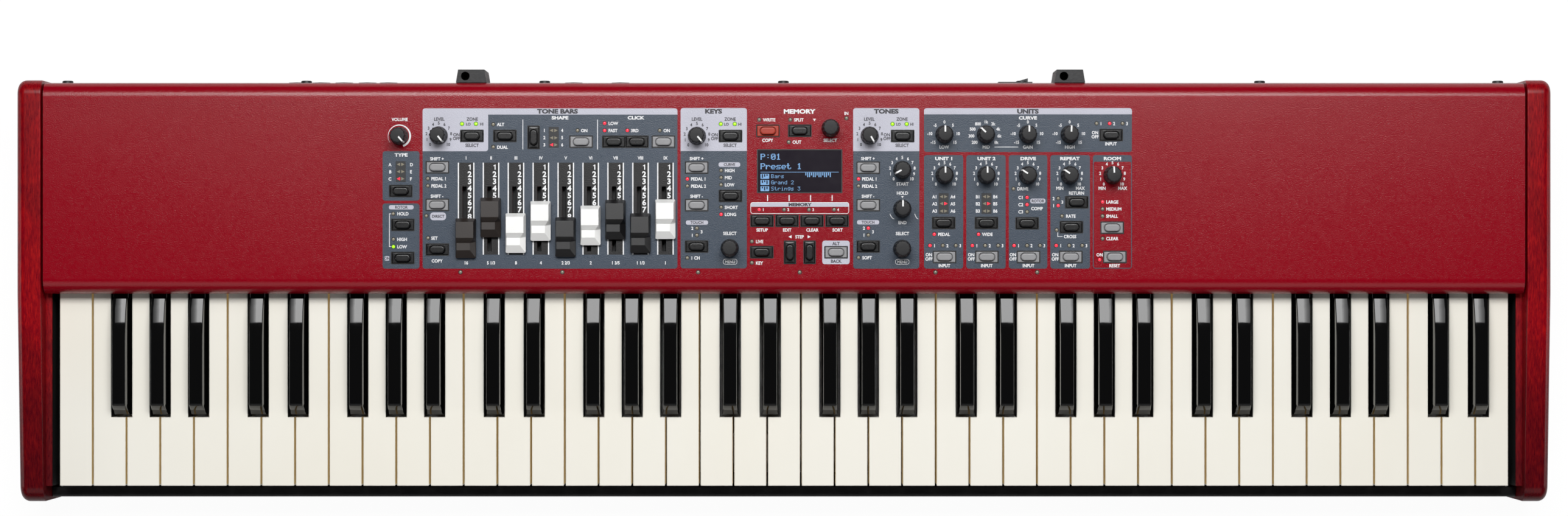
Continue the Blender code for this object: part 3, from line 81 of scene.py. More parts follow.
# Finishes
def add_node(tree, kind, **inputs):
    """A node with its inputs set, or linked where an output is given; _ stands for a space."""
    node = tree.nodes.new(kind)
    for name, value in inputs.items():
        socket = node.inputs[name.replace("_", " ")]
        if isinstance(value, bpy.types.NodeSocket):
            tree.links.new(value, socket)
        else:
            socket.default_value = value
    return node


class Finish:
    """A Principled material that is built up node by node."""

    def __init__(self, name, colour, roughness, metallic=0.0, coat=0.0, specular=0.5):
        self.material = bpy.data.materials.new(name)
        self.material.use_nodes = True
        self.tree = self.material.node_tree
        self.shader = self.tree.nodes["Principled BSDF"]
        self.shader.inputs["Base Color"].default_value = colour
        self.shader.inputs["Roughness"].default_value = roughness
        self.shader.inputs["Metallic"].default_value = metallic
        self.shader.inputs["Coat Weight"].default_value = coat
        self.shader.inputs["Coat Roughness"].default_value = 0.08
        self.shader.inputs["Specular IOR Level"].default_value = specular

    def noise(self, scale, detail=2.0, stretch=(1, 1, 1), distortion=0.0):
        """A noise texture in the object's own metres; scale is features for each metre."""
        place = add_node(self.tree, "ShaderNodeTexCoord")
        mapping = add_node(self.tree, "ShaderNodeMapping", Vector=place.outputs["Object"], Scale=stretch)
        texture = add_node(self.tree, "ShaderNodeTexNoise", Vector=mapping.outputs["Vector"],
                           Scale=scale, Detail=detail, Distortion=distortion)
        return texture.outputs["Fac"]

    def along_y(self, start, end):
        """Grows from 0 to 1 between two places along the object's own Y."""
        place = add_node(self.tree, "ShaderNodeTexCoord")
        parts = add_node(self.tree, "ShaderNodeSeparateXYZ", Vector=place.outputs["Object"])
        share = add_node(self.tree, "ShaderNodeMapRange", Value=parts.outputs["Y"],
                         From_Min=start, From_Max=end)
        return share.outputs["Result"]

    def ramp(self, source, stops):
        """A colour ramp; stops are (place, colour) pairs."""
        node = add_node(self.tree, "ShaderNodeValToRGB", Fac=source)
        points = node.color_ramp.elements
        while len(points) < len(stops):
            points.new(0.5)
        for point, (position, colour) in zip(points, stops):
            point.position = position
            point.color = colour
        return node.outputs["Color"]

    def multiply(self, first, second):
        node = self.tree.nodes.new("ShaderNodeMix")
        node.data_type = "RGBA"
        node.blend_type = "MULTIPLY"
        node.inputs["Factor"].default_value = 1
        self.tree.links.new(first, node.inputs["A"])
        self.tree.links.new(second, node.inputs["B"])
        return node.outputs["Result"]

    def colour_from(self, source):
        self.tree.links.new(source, self.shader.inputs["Base Color"])

    def roughness_from(self, source, low, high):
        """Spreads the middle of a noise over a range of roughness."""
        node = add_node(self.tree, "ShaderNodeMapRange", Value=source, From_Min=0.3, From_Max=0.7,
                        To_Min=low, To_Max=high)
        self.tree.links.new(node.outputs["Result"], self.shader.inputs["Roughness"])

    def bump(self, source, height, strength=1.0):
        """Relief of a height in metres."""
        node = add_node(self.tree, "ShaderNodeBump", Height=source, Strength=strength, Distance=height)
        self.tree.links.new(node.outputs["Normal"], self.shader.inputs["Normal"])

    def glow(self, colour, strength):
        self.shader.inputs["Emission Color"].default_value = colour
        self.shader.inputs["Emission Strength"].default_value = strength


def shade(colour, factor):
    return (*(min(1, channel * factor) for channel in colour[:3]), 1)


def powder_coat(name, colour, spread, roughness):
    """Textured paint: an orange-peel relief and a faint mottle of the colour."""
    finish = Finish(name, colour, roughness, specular=0.4)
    grain = finish.noise(1350, 2)
    finish.colour_from(finish.ramp(grain, [
        (0.3, shade(colour, 1 - spread)), (0.5, colour), (0.72, shade(colour, 1 + spread)),
    ]))
    finish.roughness_from(finish.noise(480, 2), roughness - 0.03, roughness + 0.05)
    finish.bump(grain, 0.15 * MM, 0.7)
    return finish.material


def stained_wood():
    """Red stain under clear lacquer: straight fine grain; the colour grows darker towards the player's
    edge.
    """
    finish = Finish("red_stained_wood", srgb(142, 1, 15), 0.3, specular=0.22)
    fibre = finish.noise(1250, 4, (1, 0.14, 1), 0.3)
    speckle = finish.noise(1500, 2, (1, 0.6, 1))
    wide = finish.noise(40, 3, (1, 0.5, 1), 0.8)
    streaks = finish.ramp(fibre, [
        (0.34, srgb(122, 0, 18)), (0.5, srgb(142, 1, 15)), (0.72, srgb(170, 10, 12)),
    ])
    pores = finish.ramp(speckle, [(0.3, (0.8, 0.8, 0.84, 1)), (0.6, (1, 1, 1, 1))])
    clouds = finish.ramp(wide, [(0.34, (0.72, 0.7, 0.84, 1)), (0.6, (1, 1, 1, 1))])
    # Darker towards the player's edge: a gradient along the cheek's own Y
    depth = finish.ramp(finish.along_y(-150 * MM, 40 * MM), [
        (0.0, (0.32, 0.3, 0.56, 1)), (0.3, (0.52, 0.48, 0.7, 1)), (0.66, (1, 1, 1, 1)),
    ])
    stained = finish.multiply(finish.multiply(streaks, pores), finish.multiply(clouds, depth))
    finish.colour_from(stained)
    finish.roughness_from(fibre, 0.26, 0.34)
    finish.bump(speckle, 0.01 * MM, 0.3)
    return finish.material


def moulded(name, colour, roughness, grain=900, relief=0.03, spread=0.08, specular=0.5):
    """Moulded plastic or rubber with a fine grain."""
    finish = Finish(name, colour, roughness, specular=specular)
    fine = finish.noise(grain, 2)
    finish.colour_from(finish.ramp(finish.noise(90, 2), [
        (0.35, shade(colour, 1 - spread)), (0.65, shade(colour, 1 + spread)),
    ]))
    finish.roughness_from(fine, roughness - 0.03, roughness + 0.03)
    finish.bump(fine, relief * MM, 0.35)
    return finish.material


def ivory():
    """Key plastic: nearly even, with a faint warm drift and a fine polish."""
    finish = Finish("ivory_key_plastic", srgb(240, 236, 225), 0.32)
    finish.colour_from(finish.ramp(finish.noise(9, 1), [
        (0.3, srgb(239, 235, 223)), (0.7, srgb(241, 238, 228)),
    ]))
    finish.roughness_from(finish.noise(60, 1), 0.3, 0.34)
    finish.bump(finish.noise(1400, 1), 0.002 * MM, 0.1)
    return finish.material


def key_flank():
    """The sides of the white keys: a golden tint and a faint painted glow that stand in for light bouncing
    in the gaps between keys.
    """
    # Painted light: the golden colour stands in for warm light bounced inside the gaps
    finish = Finish("key_side_painted_glow", srgb(206, 188, 144), 0.5)
    finish.colour_from(finish.ramp(finish.noise(60, 1), [
        (0.3, srgb(200, 182, 138)), (0.7, srgb(212, 194, 150)),
    ]))
    finish.bump(finish.noise(900, 1), 0.01 * MM, 0.2)
    # Painted glow that stands in for light bounced between the keys
    finish.glow(srgb(222, 196, 140), 0.1)
    return finish.material


def polished_black():
    finish = Finish("polished_black_plastic", (0.0035, 0.0035, 0.0036, 1), 0.05, specular=0.35)
    finish.roughness_from(finish.noise(220, 3), 0.04, 0.06)
    finish.bump(finish.noise(60, 2), 0.006 * MM, 0.1)
    return finish.material


def zinc():
    finish = Finish("zinc_plated_steel", (0.52, 0.52, 0.53, 1), 0.38, metallic=1.0)
    finish.colour_from(finish.ramp(finish.noise(160, 3), [
        (0.3, (0.4, 0.4, 0.42, 1)), (0.7, (0.6, 0.6, 0.6, 1)),
    ]))
    finish.roughness_from(finish.noise(700, 2, (0.1, 1, 1)), 0.3, 0.48)
    return finish.material


def lamp_lens(name, colour, strength):
    finish = Finish(name, colour, 0.25, coat=0.5)
    finish.bump(finish.noise(2500, 1), 0.01 * MM, 0.2)
    if strength:
        finish.glow(colour, strength)
    return finish.material


def ink(name, colour):
    """Screen-printed ink over the textured paint."""
    finish = Finish(name, colour, 0.5)
    grain = finish.noise(900, 2)
    finish.colour_from(finish.ramp(grain, [(0.3, shade(colour, 0.88)), (0.6, colour)]))
    finish.bump(grain, 0.03 * MM, 0.3)
    return finish.material


def pixels():
    finish = Finish("display_pixels", srgb(60, 90, 120), 0.4)
    finish.glow(srgb(112, 158, 204), 0.85)
    finish.bump(finish.noise(2000, 1), 0.01 * MM, 0.1)
    return finish.material


def screen_pane():
    finish = Finish("dark_display_pane", srgb(38, 34, 41), 0.12)
    finish.roughness_from(finish.noise(120, 2), 0.1, 0.16)
    finish.bump(finish.noise(40, 1), 0.004 * MM, 0.1)
    return finish.material


RED_PAINT = powder_coat("red_powder_coat", srgb(136, 1, 21), 0.06, 0.2)
SLATE_PAINT = powder_coat("slate_field", srgb(63, 73, 86), 0.06, 0.3)
LIGHT_PAINT = powder_coat("light_block", srgb(188, 188, 200), 0.03, 0.32)
COLUMN_PAINT = powder_coat("black_column", srgb(12, 10, 12), 0.3, 0.45)
BLACK_STEEL = powder_coat("black_satin_steel", (0.004, 0.004, 0.0045, 1), 0.2, 0.34)
WOOD = stained_wood()
IVORY = ivory()
# Painted light: a golden colour with a faint glow for the key flanks and hinge strips, standing in for
# light bounced between the keys
KEY_SIDE_PAINTED_GLOW = key_flank()
# Painted shade: a near-black finish for key walls inside the slots, the end keys' outer flanks and the
# ledges' inner faces, which lie in shadow
SLOT_PAINTED_SHADE = moulded("slot_painted_shade", (0.004, 0.004, 0.004, 1), 0.6)
GLOSS_BLACK = polished_black()
KNOB_BLACK = moulded("knob_black", srgb(26, 26, 28), 0.5, 1300, 0.05, 0.15, specular=0.35)
MATTE_BLACK = moulded("matte_black_plastic", (0.012, 0.012, 0.013, 1), 0.5, 1100, 0.04)
COARSE_BLACK = moulded("coarse_black_plastic", (0.012, 0.012, 0.013, 1), 0.55, 520, 0.25, 0.2)
DARK_RUBBER = moulded("dark_rubber", srgb(15, 15, 16), 0.3, 1500, 0.02, specular=0.5)
LIGHT_RUBBER = moulded("light_rubber", srgb(142, 142, 144), 0.36, 1500, 0.02, 0.03)
RED_RUBBER = moulded("red_rubber", srgb(166, 52, 34), 0.34, 1500, 0.02, 0.04, specular=0.4)
BROWN_PLASTIC = moulded("brown_plastic", srgb(36, 28, 24), 0.42, 1100, 0.05, 0.08, specular=0.6)
BLACK_PLASTIC = moulded("black_cap_plastic", srgb(13, 13, 15), 0.42, 1100, 0.05, 0.1, specular=0.7)
WHITE_PLASTIC = moulded("white_cap_plastic", srgb(246, 246, 244), 0.3, 1500, 0.01, 0.01)
FOOT_RUBBER = moulded("foot_rubber", (0.012, 0.012, 0.012, 1), 0.85, 700, 0.08)
BOARD_GREEN = moulded("circuit_board", (0.01, 0.06, 0.03, 1), 0.45, 400, 0.05, 0.2)
ZINC = zinc()
WHITE_INK = ink("white_ink", srgb(236, 236, 238))
DARK_INK = ink("dark_ink", srgb(44, 42, 50))
POINTER_INK = ink("pointer_white", srgb(240, 240, 240))
PANE = screen_pane()
PIXELS = pixels()
LED_RED = lamp_lens("lamp_red_lit", srgb(255, 40, 60), 1.1)
LED_GREEN = lamp_lens("lamp_green_lit", srgb(150, 255, 20), 1.0)
LED_OFF = lamp_lens("lamp_off", srgb(138, 132, 116), 0)
LED_RING = moulded("lamp_ring", (0.01, 0.01, 0.01, 1), 0.4)


# Mesh building
def arc(centre, radius, start, end, steps):
    """Points of an arc between two angles in degrees."""
    points = []
    for i in range(steps + 1):
        angle = math.radians(start + (end - start) * i / steps)
        points.append((centre[0] + radius * math.cos(angle), centre[1] + radius * math.sin(angle)))
    return points


def rounded_box(x, y, radius, steps=5):
    """Plan outline of a rectangle with round corners, anticlockwise."""
    corners = [
        (x[1] - radius, y[1] - radius, 0), (x[0] + radius, y[1] - radius, 90),
        (x[0] + radius, y[0] + radius, 180), (x[1] - radius, y[0] + radius, 270),
    ]
    points = []
    for u, v, start in corners:
        points += arc((u, v), radius, start, start + 90, steps)
    return points


def centred(centre, size, radius, steps=5):
    """Plan outline of a rounded rectangle about its middle."""
    x, y = ((middle - length / 2, middle + length / 2) for middle, length in zip(centre, size))
    return rounded_box(x, y, radius, steps)


def px_box(x0, y0, x1, y1, radius, steps=5):
    """Plan outline between two corners given as pixels of the photograph."""
    left, rear = at(x0, y0)
    right, front = at(x1, y1)
    return rounded_box((left, right), (front, rear), radius, steps)


def inner_outline(outline, by):
    """A plan outline, anticlockwise, with each of its sides moved inwards."""
    moved = []
    count = len(outline)
    for i in range(count):
        before, spot, after = (Vector(outline[(i + k) % count]) for k in (-1, 0, 1))
        first = (spot - before).normalized()
        second = (after - spot).normalized()
        turn = first.cross(second)
        first_in = Vector((-first.y, first.x)) * by
        if abs(turn) < 1e-6:
            moved.append(tuple(spot + first_in))
            continue
        second_in = Vector((-second.y, second.x)) * by
        reach = (second_in - first_in).cross(second) / turn
        moved.append(tuple(spot + first_in + first * reach))
    return moved


def add_sides(bm, rings, closed=False):
    """Faces between neighbouring rings of corners; the last ring meets the first if closed."""
    faces = []
    for near, far in zip(rings, rings[1:] + rings[:1] if closed else rings[1:]):
        for i in range(len(near)):
            j = (i + 1) % len(near)
            faces.append(bm.faces.new((near[i], near[j], far[j], far[i])))
    return faces


def new_rings(bm, rings):
    return [[bm.verts.new(place) for place in ring] for ring in rings]


def add_loft(bm, rings):
    """A body through rings of places, closed by a face at either end; returns its sides and last face."""
    rings = new_rings(bm, rings)
    sides = add_sides(bm, rings)
    bm.faces.new(rings[0][::-1])
    return sides, bm.faces.new(rings[-1])


def add_levels(bm, levels):
    """A body through plan outlines, each at its height."""
    return add_loft(bm, [[(u, v, z) for u, v in outline] for outline, z in levels])


def bevel_edges(bm, edges, offset, segments, clamp=False):
    bmesh.ops.bevel(bm, geom=list(edges), offset=offset, segments=segments, profile=0.5,
                    affect="EDGES", clamp_overlap=clamp)


def add_prism(bm, outline, low, high, bevel=0.0, segments=2):
    """A straight prism on a plan outline, its upper edges bevelled if asked."""
    _, top = add_levels(bm, [(outline, low), (outline, high)])
    if bevel:
        bevel_edges(bm, top.edges, bevel, segments, clamp=True)


def turned_rings(centre, profile, sides, flute=0.0):
    """Rings about a vertical axis; profile: radius and height in mm, then any fluted share."""
    rings = []
    for radius, z, *share in profile:
        ring = []
        for i in range(sides):
            angle = math.tau * i / sides
            dip = flute * sum(share) * (0.5 - 0.5 * math.cos(FLUTES * angle)) ** 1.5
            reach = radius * MM - dip
            ring.append((centre[0] + reach * math.cos(angle), centre[1] + reach * math.sin(angle), z * MM))
        rings.append(ring)
    return rings


def add_turned(bm, centre, profile, sides, flute=0.0):
    add_loft(bm, turned_rings(centre, profile, sides, flute))


def plain_mesh(bm, name):
    mesh = bpy.data.meshes.new(name)
    bm.to_mesh(mesh)
    bm.free()
    return mesh


def finished_mesh(bm, name, smooth_deg=35):
    """A mesh with its normals outwards, smooth but for edges that turn more than a limit."""
    bmesh.ops.recalc_face_normals(bm, faces=bm.faces)
    if bm.calc_volume(signed=True) < 0:
        bmesh.ops.reverse_faces(bm, faces=bm.faces)
    mesh = plain_mesh(bm, name)
    mesh.shade_smooth()
    mesh.set_sharp_from_angle(angle=math.radians(smooth_deg))
    return mesh


def join_mesh(bm, mesh):
    bm.from_mesh(mesh)
    bpy.data.meshes.remove(mesh)


def flat_mesh(name, outlines, low, high):
    """Outlines with holes, filled and given a thickness, through a 2D curve."""
    curve = bpy.data.curves.new(name, "CURVE")
    curve.dimensions = "2D"
    curve.fill_mode = "BOTH"
    curve.extrude = (high - low) / 2
    for outline in outlines:
        spline = curve.splines.new("POLY")
        spline.points.add(len(outline) - 1)
        for point, (u, v) in zip(spline.points, outline):
            point.co = (u, v, 0, 1)
        spline.use_cyclic_u = True
    return curve_to_mesh(curve, Matrix.Translation((0, 0, (low + high) / 2)))


def curve_to_mesh(curve, matrix):
    source = bpy.data.objects.new(curve.name, curve)
    bpy.context.scene.collection.objects.link(source)
    bpy.context.view_layer.update()
    graph = bpy.context.evaluated_depsgraph_get()
    mesh = bpy.data.meshes.new_from_object(source.evaluated_get(graph))
    bpy.data.objects.remove(source)
    bm = bmesh.new()
    join_mesh(bm, mesh)
    bmesh.ops.remove_doubles(bm, verts=bm.verts, dist=1e-6)
    bm.transform(matrix)
    return plain_mesh(bm, curve.name)


# Pieces
def piece(name, mesh, body, finishes, replaces=()):
    """Puts a mesh into the scene on a CAD body."""
    obj = bpy.data.objects.new(name, mesh)
    bpy.context.scene.collection.objects.link(obj)
    for finish in finishes if isinstance(finishes, (list, tuple)) else [finishes]:
        mesh.materials.append(finish)
    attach(obj, body)
    if replaces:
        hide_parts(*replaces)
    return obj


def solid(name, bm, body, finishes, replaces=(), smooth_deg=35):
    return piece(name, finished_mesh(bm, name, smooth_deg), body, finishes, replaces)


def fixed(name, bm, finish, smooth_deg=35):
    return solid(name, bm, "housing", finish, smooth_deg=smooth_deg)


def layer(name, outlines, high, finish, low=PANEL_Z):
    """A printed layer between two heights, the lower one that of the panel if not given."""
    return piece(name, flat_mesh(name, outlines, low, high), "housing", finish)


def even_normals(obj):
    """Keeps large flat faces flat beside their rounded edges."""
    modifier = obj.modifiers.new("even_normals", "WEIGHTED_NORMAL")
    modifier.keep_sharp = True


# Carried-over nodes
def smoothing_group(limit_deg=35):
    """Joins corners, shades smooth and keeps edges sharp that turn more than a limit."""
    tree = bpy.data.node_groups.new("smooth_arcs", "GeometryNodeTree")
    tree.interface.new_socket("Geometry", in_out="INPUT", socket_type="NodeSocketGeometry")
    tree.interface.new_socket("Geometry", in_out="OUTPUT", socket_type="NodeSocketGeometry")
    start = tree.nodes.new("NodeGroupInput")
    end = tree.nodes.new("NodeGroupOutput")
    join = tree.nodes.new("GeometryNodeMergeByDistance")
    join.inputs["Distance"].default_value = 1e-6
    drop = tree.nodes.new("GeometryNodeRemoveAttribute")
    drop.inputs["Name"].default_value = "custom_normal"
    smooth = tree.nodes.new("GeometryNodeSetShadeSmooth")
    angle = tree.nodes.new("GeometryNodeInputMeshEdgeAngle")
    compare = tree.nodes.new("FunctionNodeCompare")
    compare.operation = "GREATER_THAN"
    compare.inputs["B"].default_value = math.radians(limit_deg)
    sharp = tree.nodes.new("GeometryNodeStoreNamedAttribute")
    sharp.data_type = "BOOLEAN"
    sharp.domain = "EDGE"
    sharp.inputs["Name"].default_value = "sharp_edge"
    tree.links.new(angle.outputs["Unsigned Angle"], compare.inputs["A"])
    tree.links.new(compare.outputs["Result"], sharp.inputs["Value"])
    chain = (start, join, drop, smooth, sharp, end)
    for near, far in zip(chain, chain[1:]):
        tree.links.new(near.outputs["Geometry"], far.inputs["Geometry"])
    return tree


SMOOTH_ARCS = smoothing_group()


def smooth_arcs(node):
    modifier = node.modifiers.new("smooth_arcs", "NODES")
    modifier.node_group = SMOOTH_ARCS
    even_normals(node)


def dress_nodes():
    finishes = {
        "top_cover": RED_PAINT, "bottom_tray": BLACK_STEEL, "keybed_frame": ZINC,
        "control_board": BOARD_GREEN, "display_window": PANE, "socket_board": MATTE_BLACK,
        "power_inlet": MATTE_BLACK, "power_switch": MATTE_BLACK,
        "stand_holder_left": COARSE_BLACK, "stand_holder_right": COARSE_BLACK,
    }
    for foot in ("foot_front_left", "foot_front_right", "foot_rear_left", "foot_rear_right"):
        finishes[foot] = FOOT_RUBBER
    for name, finish in finishes.items():
        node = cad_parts[name]
        node.data.materials.clear()
        node.data.materials.append(finish)
        smooth_arcs(node)


# Cheeks: turned-over edges on the shape of the CAD node
CHEEK = {
    "outer": 531 * MM, "inner": 514 * MM, "ledge": 509.5 * MM, "ledge_z": 62.5 * MM,
    "ledge_front": -139.7 * MM, "front": -150.5 * MM, "rear": 142.3 * MM, "slope": -5.7 * MM,
    "top": 80.5 * MM, "nose": 71 * MM, "front_r": 12 * MM, "rear_r": 10 * MM,
    "edge": 6 * MM, "edge_in": 0.8 * MM, "bottom": 6 * MM, "ledge_rear": 138.7 * MM,
}


def cheek_outline():
    """The side view as (y, z), clockwise from the rear foot."""
    c = CHEEK
    slope = math.degrees(math.atan2(c["top"] - c["nose"], c["slope"] - c["front"] - c["front_r"]))
    points = [(c["rear"], c["bottom"]), (c["front"], c["bottom"])]
    front_centre = (c["front"] + c["front_r"], c["nose"] - c["front_r"])
    rear_centre = (c["rear"] - c["rear_r"], c["top"] - c["rear_r"])
    points.extend(arc(front_centre, c["front_r"], 180, 90 + slope, 14))
    points.append((c["slope"], c["top"]))
    points.extend(arc(rear_centre, c["rear_r"], 90, 0, 12))
    return points


def cheek_levels():
    """How far the side view is drawn in, and at which distance from the middle, from inside out."""
    c = CHEEK
    levels = []
    for i in range(3):
        angle = math.pi / 4 * i
        depth = c["edge_in"] * (1 - math.cos(angle))
        levels.append((c["edge_in"] * (1 - math.sin(angle)), c["inner"] + depth))
    for i in range(9):
        angle = math.pi / 16 * i
        depth = c["edge"] * (1 - math.sin(angle))
        levels.append((c["edge"] * (1 - math.cos(angle)), c["outer"] - depth))
    return levels


def make_cheek(side, word):
    outline = cheek_outline()[::-1]
    bm = bmesh.new()
    add_loft(bm, [[(side * x, u, v) for u, v in inner_outline(outline, by)] for by, x in cheek_levels()])
    even_normals(solid(f"cheek_{word}_wood", bm, "housing", WOOD, [f"cheek_{word}"]))


def make_ledge(side, word):
    """The ledge inside a cheek; its face towards the keys is painted near-black as painted shade."""
    c = CHEEK
    face_x = side * c["ledge"]
    outline = [(c["ledge_front"], c["bottom"]), (c["ledge_front"], c["ledge_z"]),
               (c["ledge_rear"], c["ledge_z"]), (c["ledge_rear"], c["bottom"])]
    bm = bmesh.new()
    add_loft(bm, [[(x, u, v) for u, v in outline] for x in (face_x, side * (c["inner"] + 0.1 * MM))])
    for face in bm.faces:
        if all(abs(v.co.x - face_x) < NEAR for v in face.verts):
            # Painted shade on the face towards the keys
            face.material_index = 1
    edges = [e for e in bm.edges if all(abs(v.co.z - c["ledge_z"]) < NEAR and abs(v.co.x - face_x) < NEAR
                                        for v in e.verts)]
    bevel_edges(bm, edges, 0.6 * MM, 2)
    solid(f"cheek_{word}_ledge", bm, "housing", [WOOD, SLOT_PAINTED_SHADE])


# Keys
KEY = {
    "count": 43, "groups": 6, "pitch": 23.5 * MM, "gap": 1.2 * MM, "top": 61 * MM, "bottom": 39 * MM,
    "front": -139.8 * MM, "slot_front": -91.9 * MM, "slot": 14.5 * MM, "step": 2.3 * MM,
    "strip": 51.3 * MM, "hinge": 65.3 * MM, "tail_top": 49.5 * MM,
}
BLACK_OFFSETS = {1: -3.3 * MM, 2: 0, 3: 3.3 * MM, 5: -2.2 * MM, 6: 2.2 * MM}

# Round edges of a white key: the upper ones, and the two that stand at its front
TOP_EDGE = 0.9 * MM
FRONT_EDGE = 1.2 * MM


def key_left(number):
    return (number - KEY["count"] / 2) * KEY["pitch"] + KEY["gap"] / 2


def key_right(number):
    return (number + 1 - KEY["count"] / 2) * KEY["pitch"] - KEY["gap"] / 2


def black_middle(number):
    """The middle of the black key at the right of a white key, or None."""
    joint = (number - 1) % 7 + 1
    if number < 1 or number >= KEY["count"] - 1 or joint not in BLACK_OFFSETS:
        return None
    return (number + 1 - KEY["count"] / 2) * KEY["pitch"] + BLACK_OFFSETS[joint]


def key_group(number):
    return max(1, (number - 1) // 7 + 1)


def white_outline(number):
    """Plan outline of one white key, narrowed beside its black neighbours."""
    left, right = key_left(number), key_right(number)
    points = []
    centre = black_middle(number)
    if centre is None:
        points += [(right, KEY["front"]), (right, KEY["step"])]
    else:
        narrow = centre - KEY["slot"] / 2
        points += [(right, KEY["front"]), (right, KEY["slot_front"]),
                   (narrow, KEY["slot_front"]), (narrow, KEY["step"])]
    centre = black_middle(number - 1)
    if centre is None:
        points += [(left, KEY["step"]), (left, KEY["front"])]
    else:
        narrow = centre + KEY["slot"] / 2
        points += [(narrow, KEY["step"]), (narrow, KEY["slot_front"]),
                   (left, KEY["slot_front"]), (left, KEY["front"])]
    return points


def add_key_body(bm, outline, low, high, radius, steps=3):
    """A prism with round upper edges; its sides take the second material."""
    levels = [(outline, low), (outline, high - radius)]
    for i in range(1, steps + 1):
        angle = math.pi / 2 * i / steps
        levels.append((inner_outline(outline, radius * (1 - math.cos(angle))),
                       high - radius * (1 - math.sin(angle))))
    sides, _ = add_levels(bm, levels)
    for face in sides[:len(outline)]:
        face.material_index = 1


def round_front_corners(bm):
    """Bevels the two edges that stand at the front of a key."""
    upright = [e for e in bm.edges if abs(e.verts[0].co.z - e.verts[1].co.z) > 5 * MM
               and all(v.co.y < KEY["front"] + FRONT_EDGE for v in e.verts)]
    bevel_edges(bm, upright, FRONT_EDGE, 4)


def finish_key_sides(bm, number):
    """The front and the step beside a black key stay ivory; walls inside a slot and the outer flanks of
    the end keys are painted near-black as painted shade.
    """
    end_x = key_right(KEY["count"] - 1)
    for face in bm.faces:
        middle = face.calc_center_median()
        flank = min(abs(middle.x - key_left(number)), abs(middle.x - key_right(number)))
        in_slot = middle.y > KEY["slot_front"] and flank > 0.3 * MM
        if middle.y < KEY["front"] + 1.5 * MM or abs(middle.y - KEY["slot_front"]) < 0.2 * MM:
            face.material_index = 0
        # Painted shade on slot walls and on the outer flanks of the end keys
        elif face.material_index == 1 and (in_slot or abs(middle.x) > end_x - 0.3 * MM):
            face.material_index = 2


def make_white_key(number):
    body = f"white_keys_{key_group(number)}"
    bm = bmesh.new()
    add_key_body(bm, white_outline(number), KEY["bottom"], KEY["top"], TOP_EDGE)
    round_front_corners(bm)
    finish_key_sides(bm, number)
    left = max(key_left(number), white_outline(number)[-1][0])
    tail = rounded_box((left + 4 * MM, key_right(number) - 4 * MM),
                       (KEY["step"] - 0.5 * MM, KEY["strip"]), 0.2 * MM, 1)
    add_prism(bm, tail, KEY["bottom"] + 0.2 * MM, KEY["tail_top"])
    even_normals(solid(f"white_key_{number + 1:02d}", bm, body, [IVORY, KEY_SIDE_PAINTED_GLOW, SLOT_PAINTED_SHADE],
                       [body]))


def strip_outline(left, right):
    """Plan outline of a hinge strip."""
    return rounded_box((left, right), (KEY["strip"], KEY["hinge"]), 1 * MM, 2)


def make_white_keys():
    for number in range(KEY["count"]):
        make_white_key(number)
    for group in range(1, KEY["groups"] + 1):
        first = 0 if group == 1 else 7 * (group - 1) + 1
        bm = bmesh.new()
        outline = strip_outline(key_left(first), key_right(7 * group))
        add_prism(bm, outline, KEY["bottom"], KEY["tail_top"], 0.4 * MM, 1)
        solid(f"white_hinge_strip_{group}", bm, f"white_keys_{group}", KEY_SIDE_PAINTED_GLOW)


BLACK = {
    "base": 11.2 * MM, "top": 9.2 * MM, "rise": 12 * MM, "front": -89.9 * MM, "slope": 6.6 * MM,
    "flat_rear": -52.7 * MM, "rear": -9.3 * MM, "rear_rise": 7.4 * MM, "bend": 0.27, "neck": 64 * MM,
    "bottom": 46 * MM, "tail": (52 * MM, 58 * MM),
}


def black_stations():
    """Side view of the top of a black key: (y, z) from the front foot to the neck."""
    b = BLACK
    top = KEY["top"] + b["rise"]
    points = [(b["front"], KEY["top"] - 2 * MM)]
    start = (b["front"] + b["slope"] - 0.6 * MM, top - 1.5 * MM)
    points.append(start)
    crest = (b["front"] + b["slope"] + 1.2 * MM, top)
    for share in (0.3, 0.6, 0.85):
        bend = 1 - (1 - share) ** 2
        points.append((start[0] + (crest[0] - start[0]) * share, start[1] + (crest[1] - start[1]) * bend))
    points.append(crest)
    run = b["rear"] - b["flat_rear"]
    for i in range(13):
        share = i / 12
        bent = max(0, share - b["bend"]) / (1 - b["bend"])
        drop = (b["rise"] - b["rear_rise"]) * bent**2
        points.append((b["flat_rear"] + run * share, top - drop))
    points.append((b["rear"] + 0.9 * MM, b["neck"]))
    points.append((KEY["step"] + 1 * MM, b["neck"]))
    return points


def add_black_body(bm, centre):
    """Sections along the key, each as wide as its height asks; the sides lean in above the white keys."""
    b = BLACK
    rings = []
    for y, z in black_stations():
        ring = []
        for side, height in ((-1, b["bottom"]), (-1, z), (1, z), (1, b["bottom"])):
            above = max(0.0, height - KEY["top"]) / b["rise"]
            half = (b["base"] + (b["top"] - b["base"]) * above) / 2
            ring.append((centre + side * half, y, height))
        rings.append(ring)
    add_loft(bm, rings)


def round_black_edges(bm, centre):
    """Rounds the two long upper edges."""
    edges = []
    for edge in bm.edges:
        p, q = (v.co for v in edge.verts)
        same_side = (p.x - centre) * (q.x - centre) > 0
        if same_side and min(p.z, q.z) > KEY["top"] - 2.5 * MM and abs(p.y - q.y) > 0.01 * MM:
            edges.append(edge)
    bevel_edges(bm, edges, 0.7 * MM, 4, clamp=True)


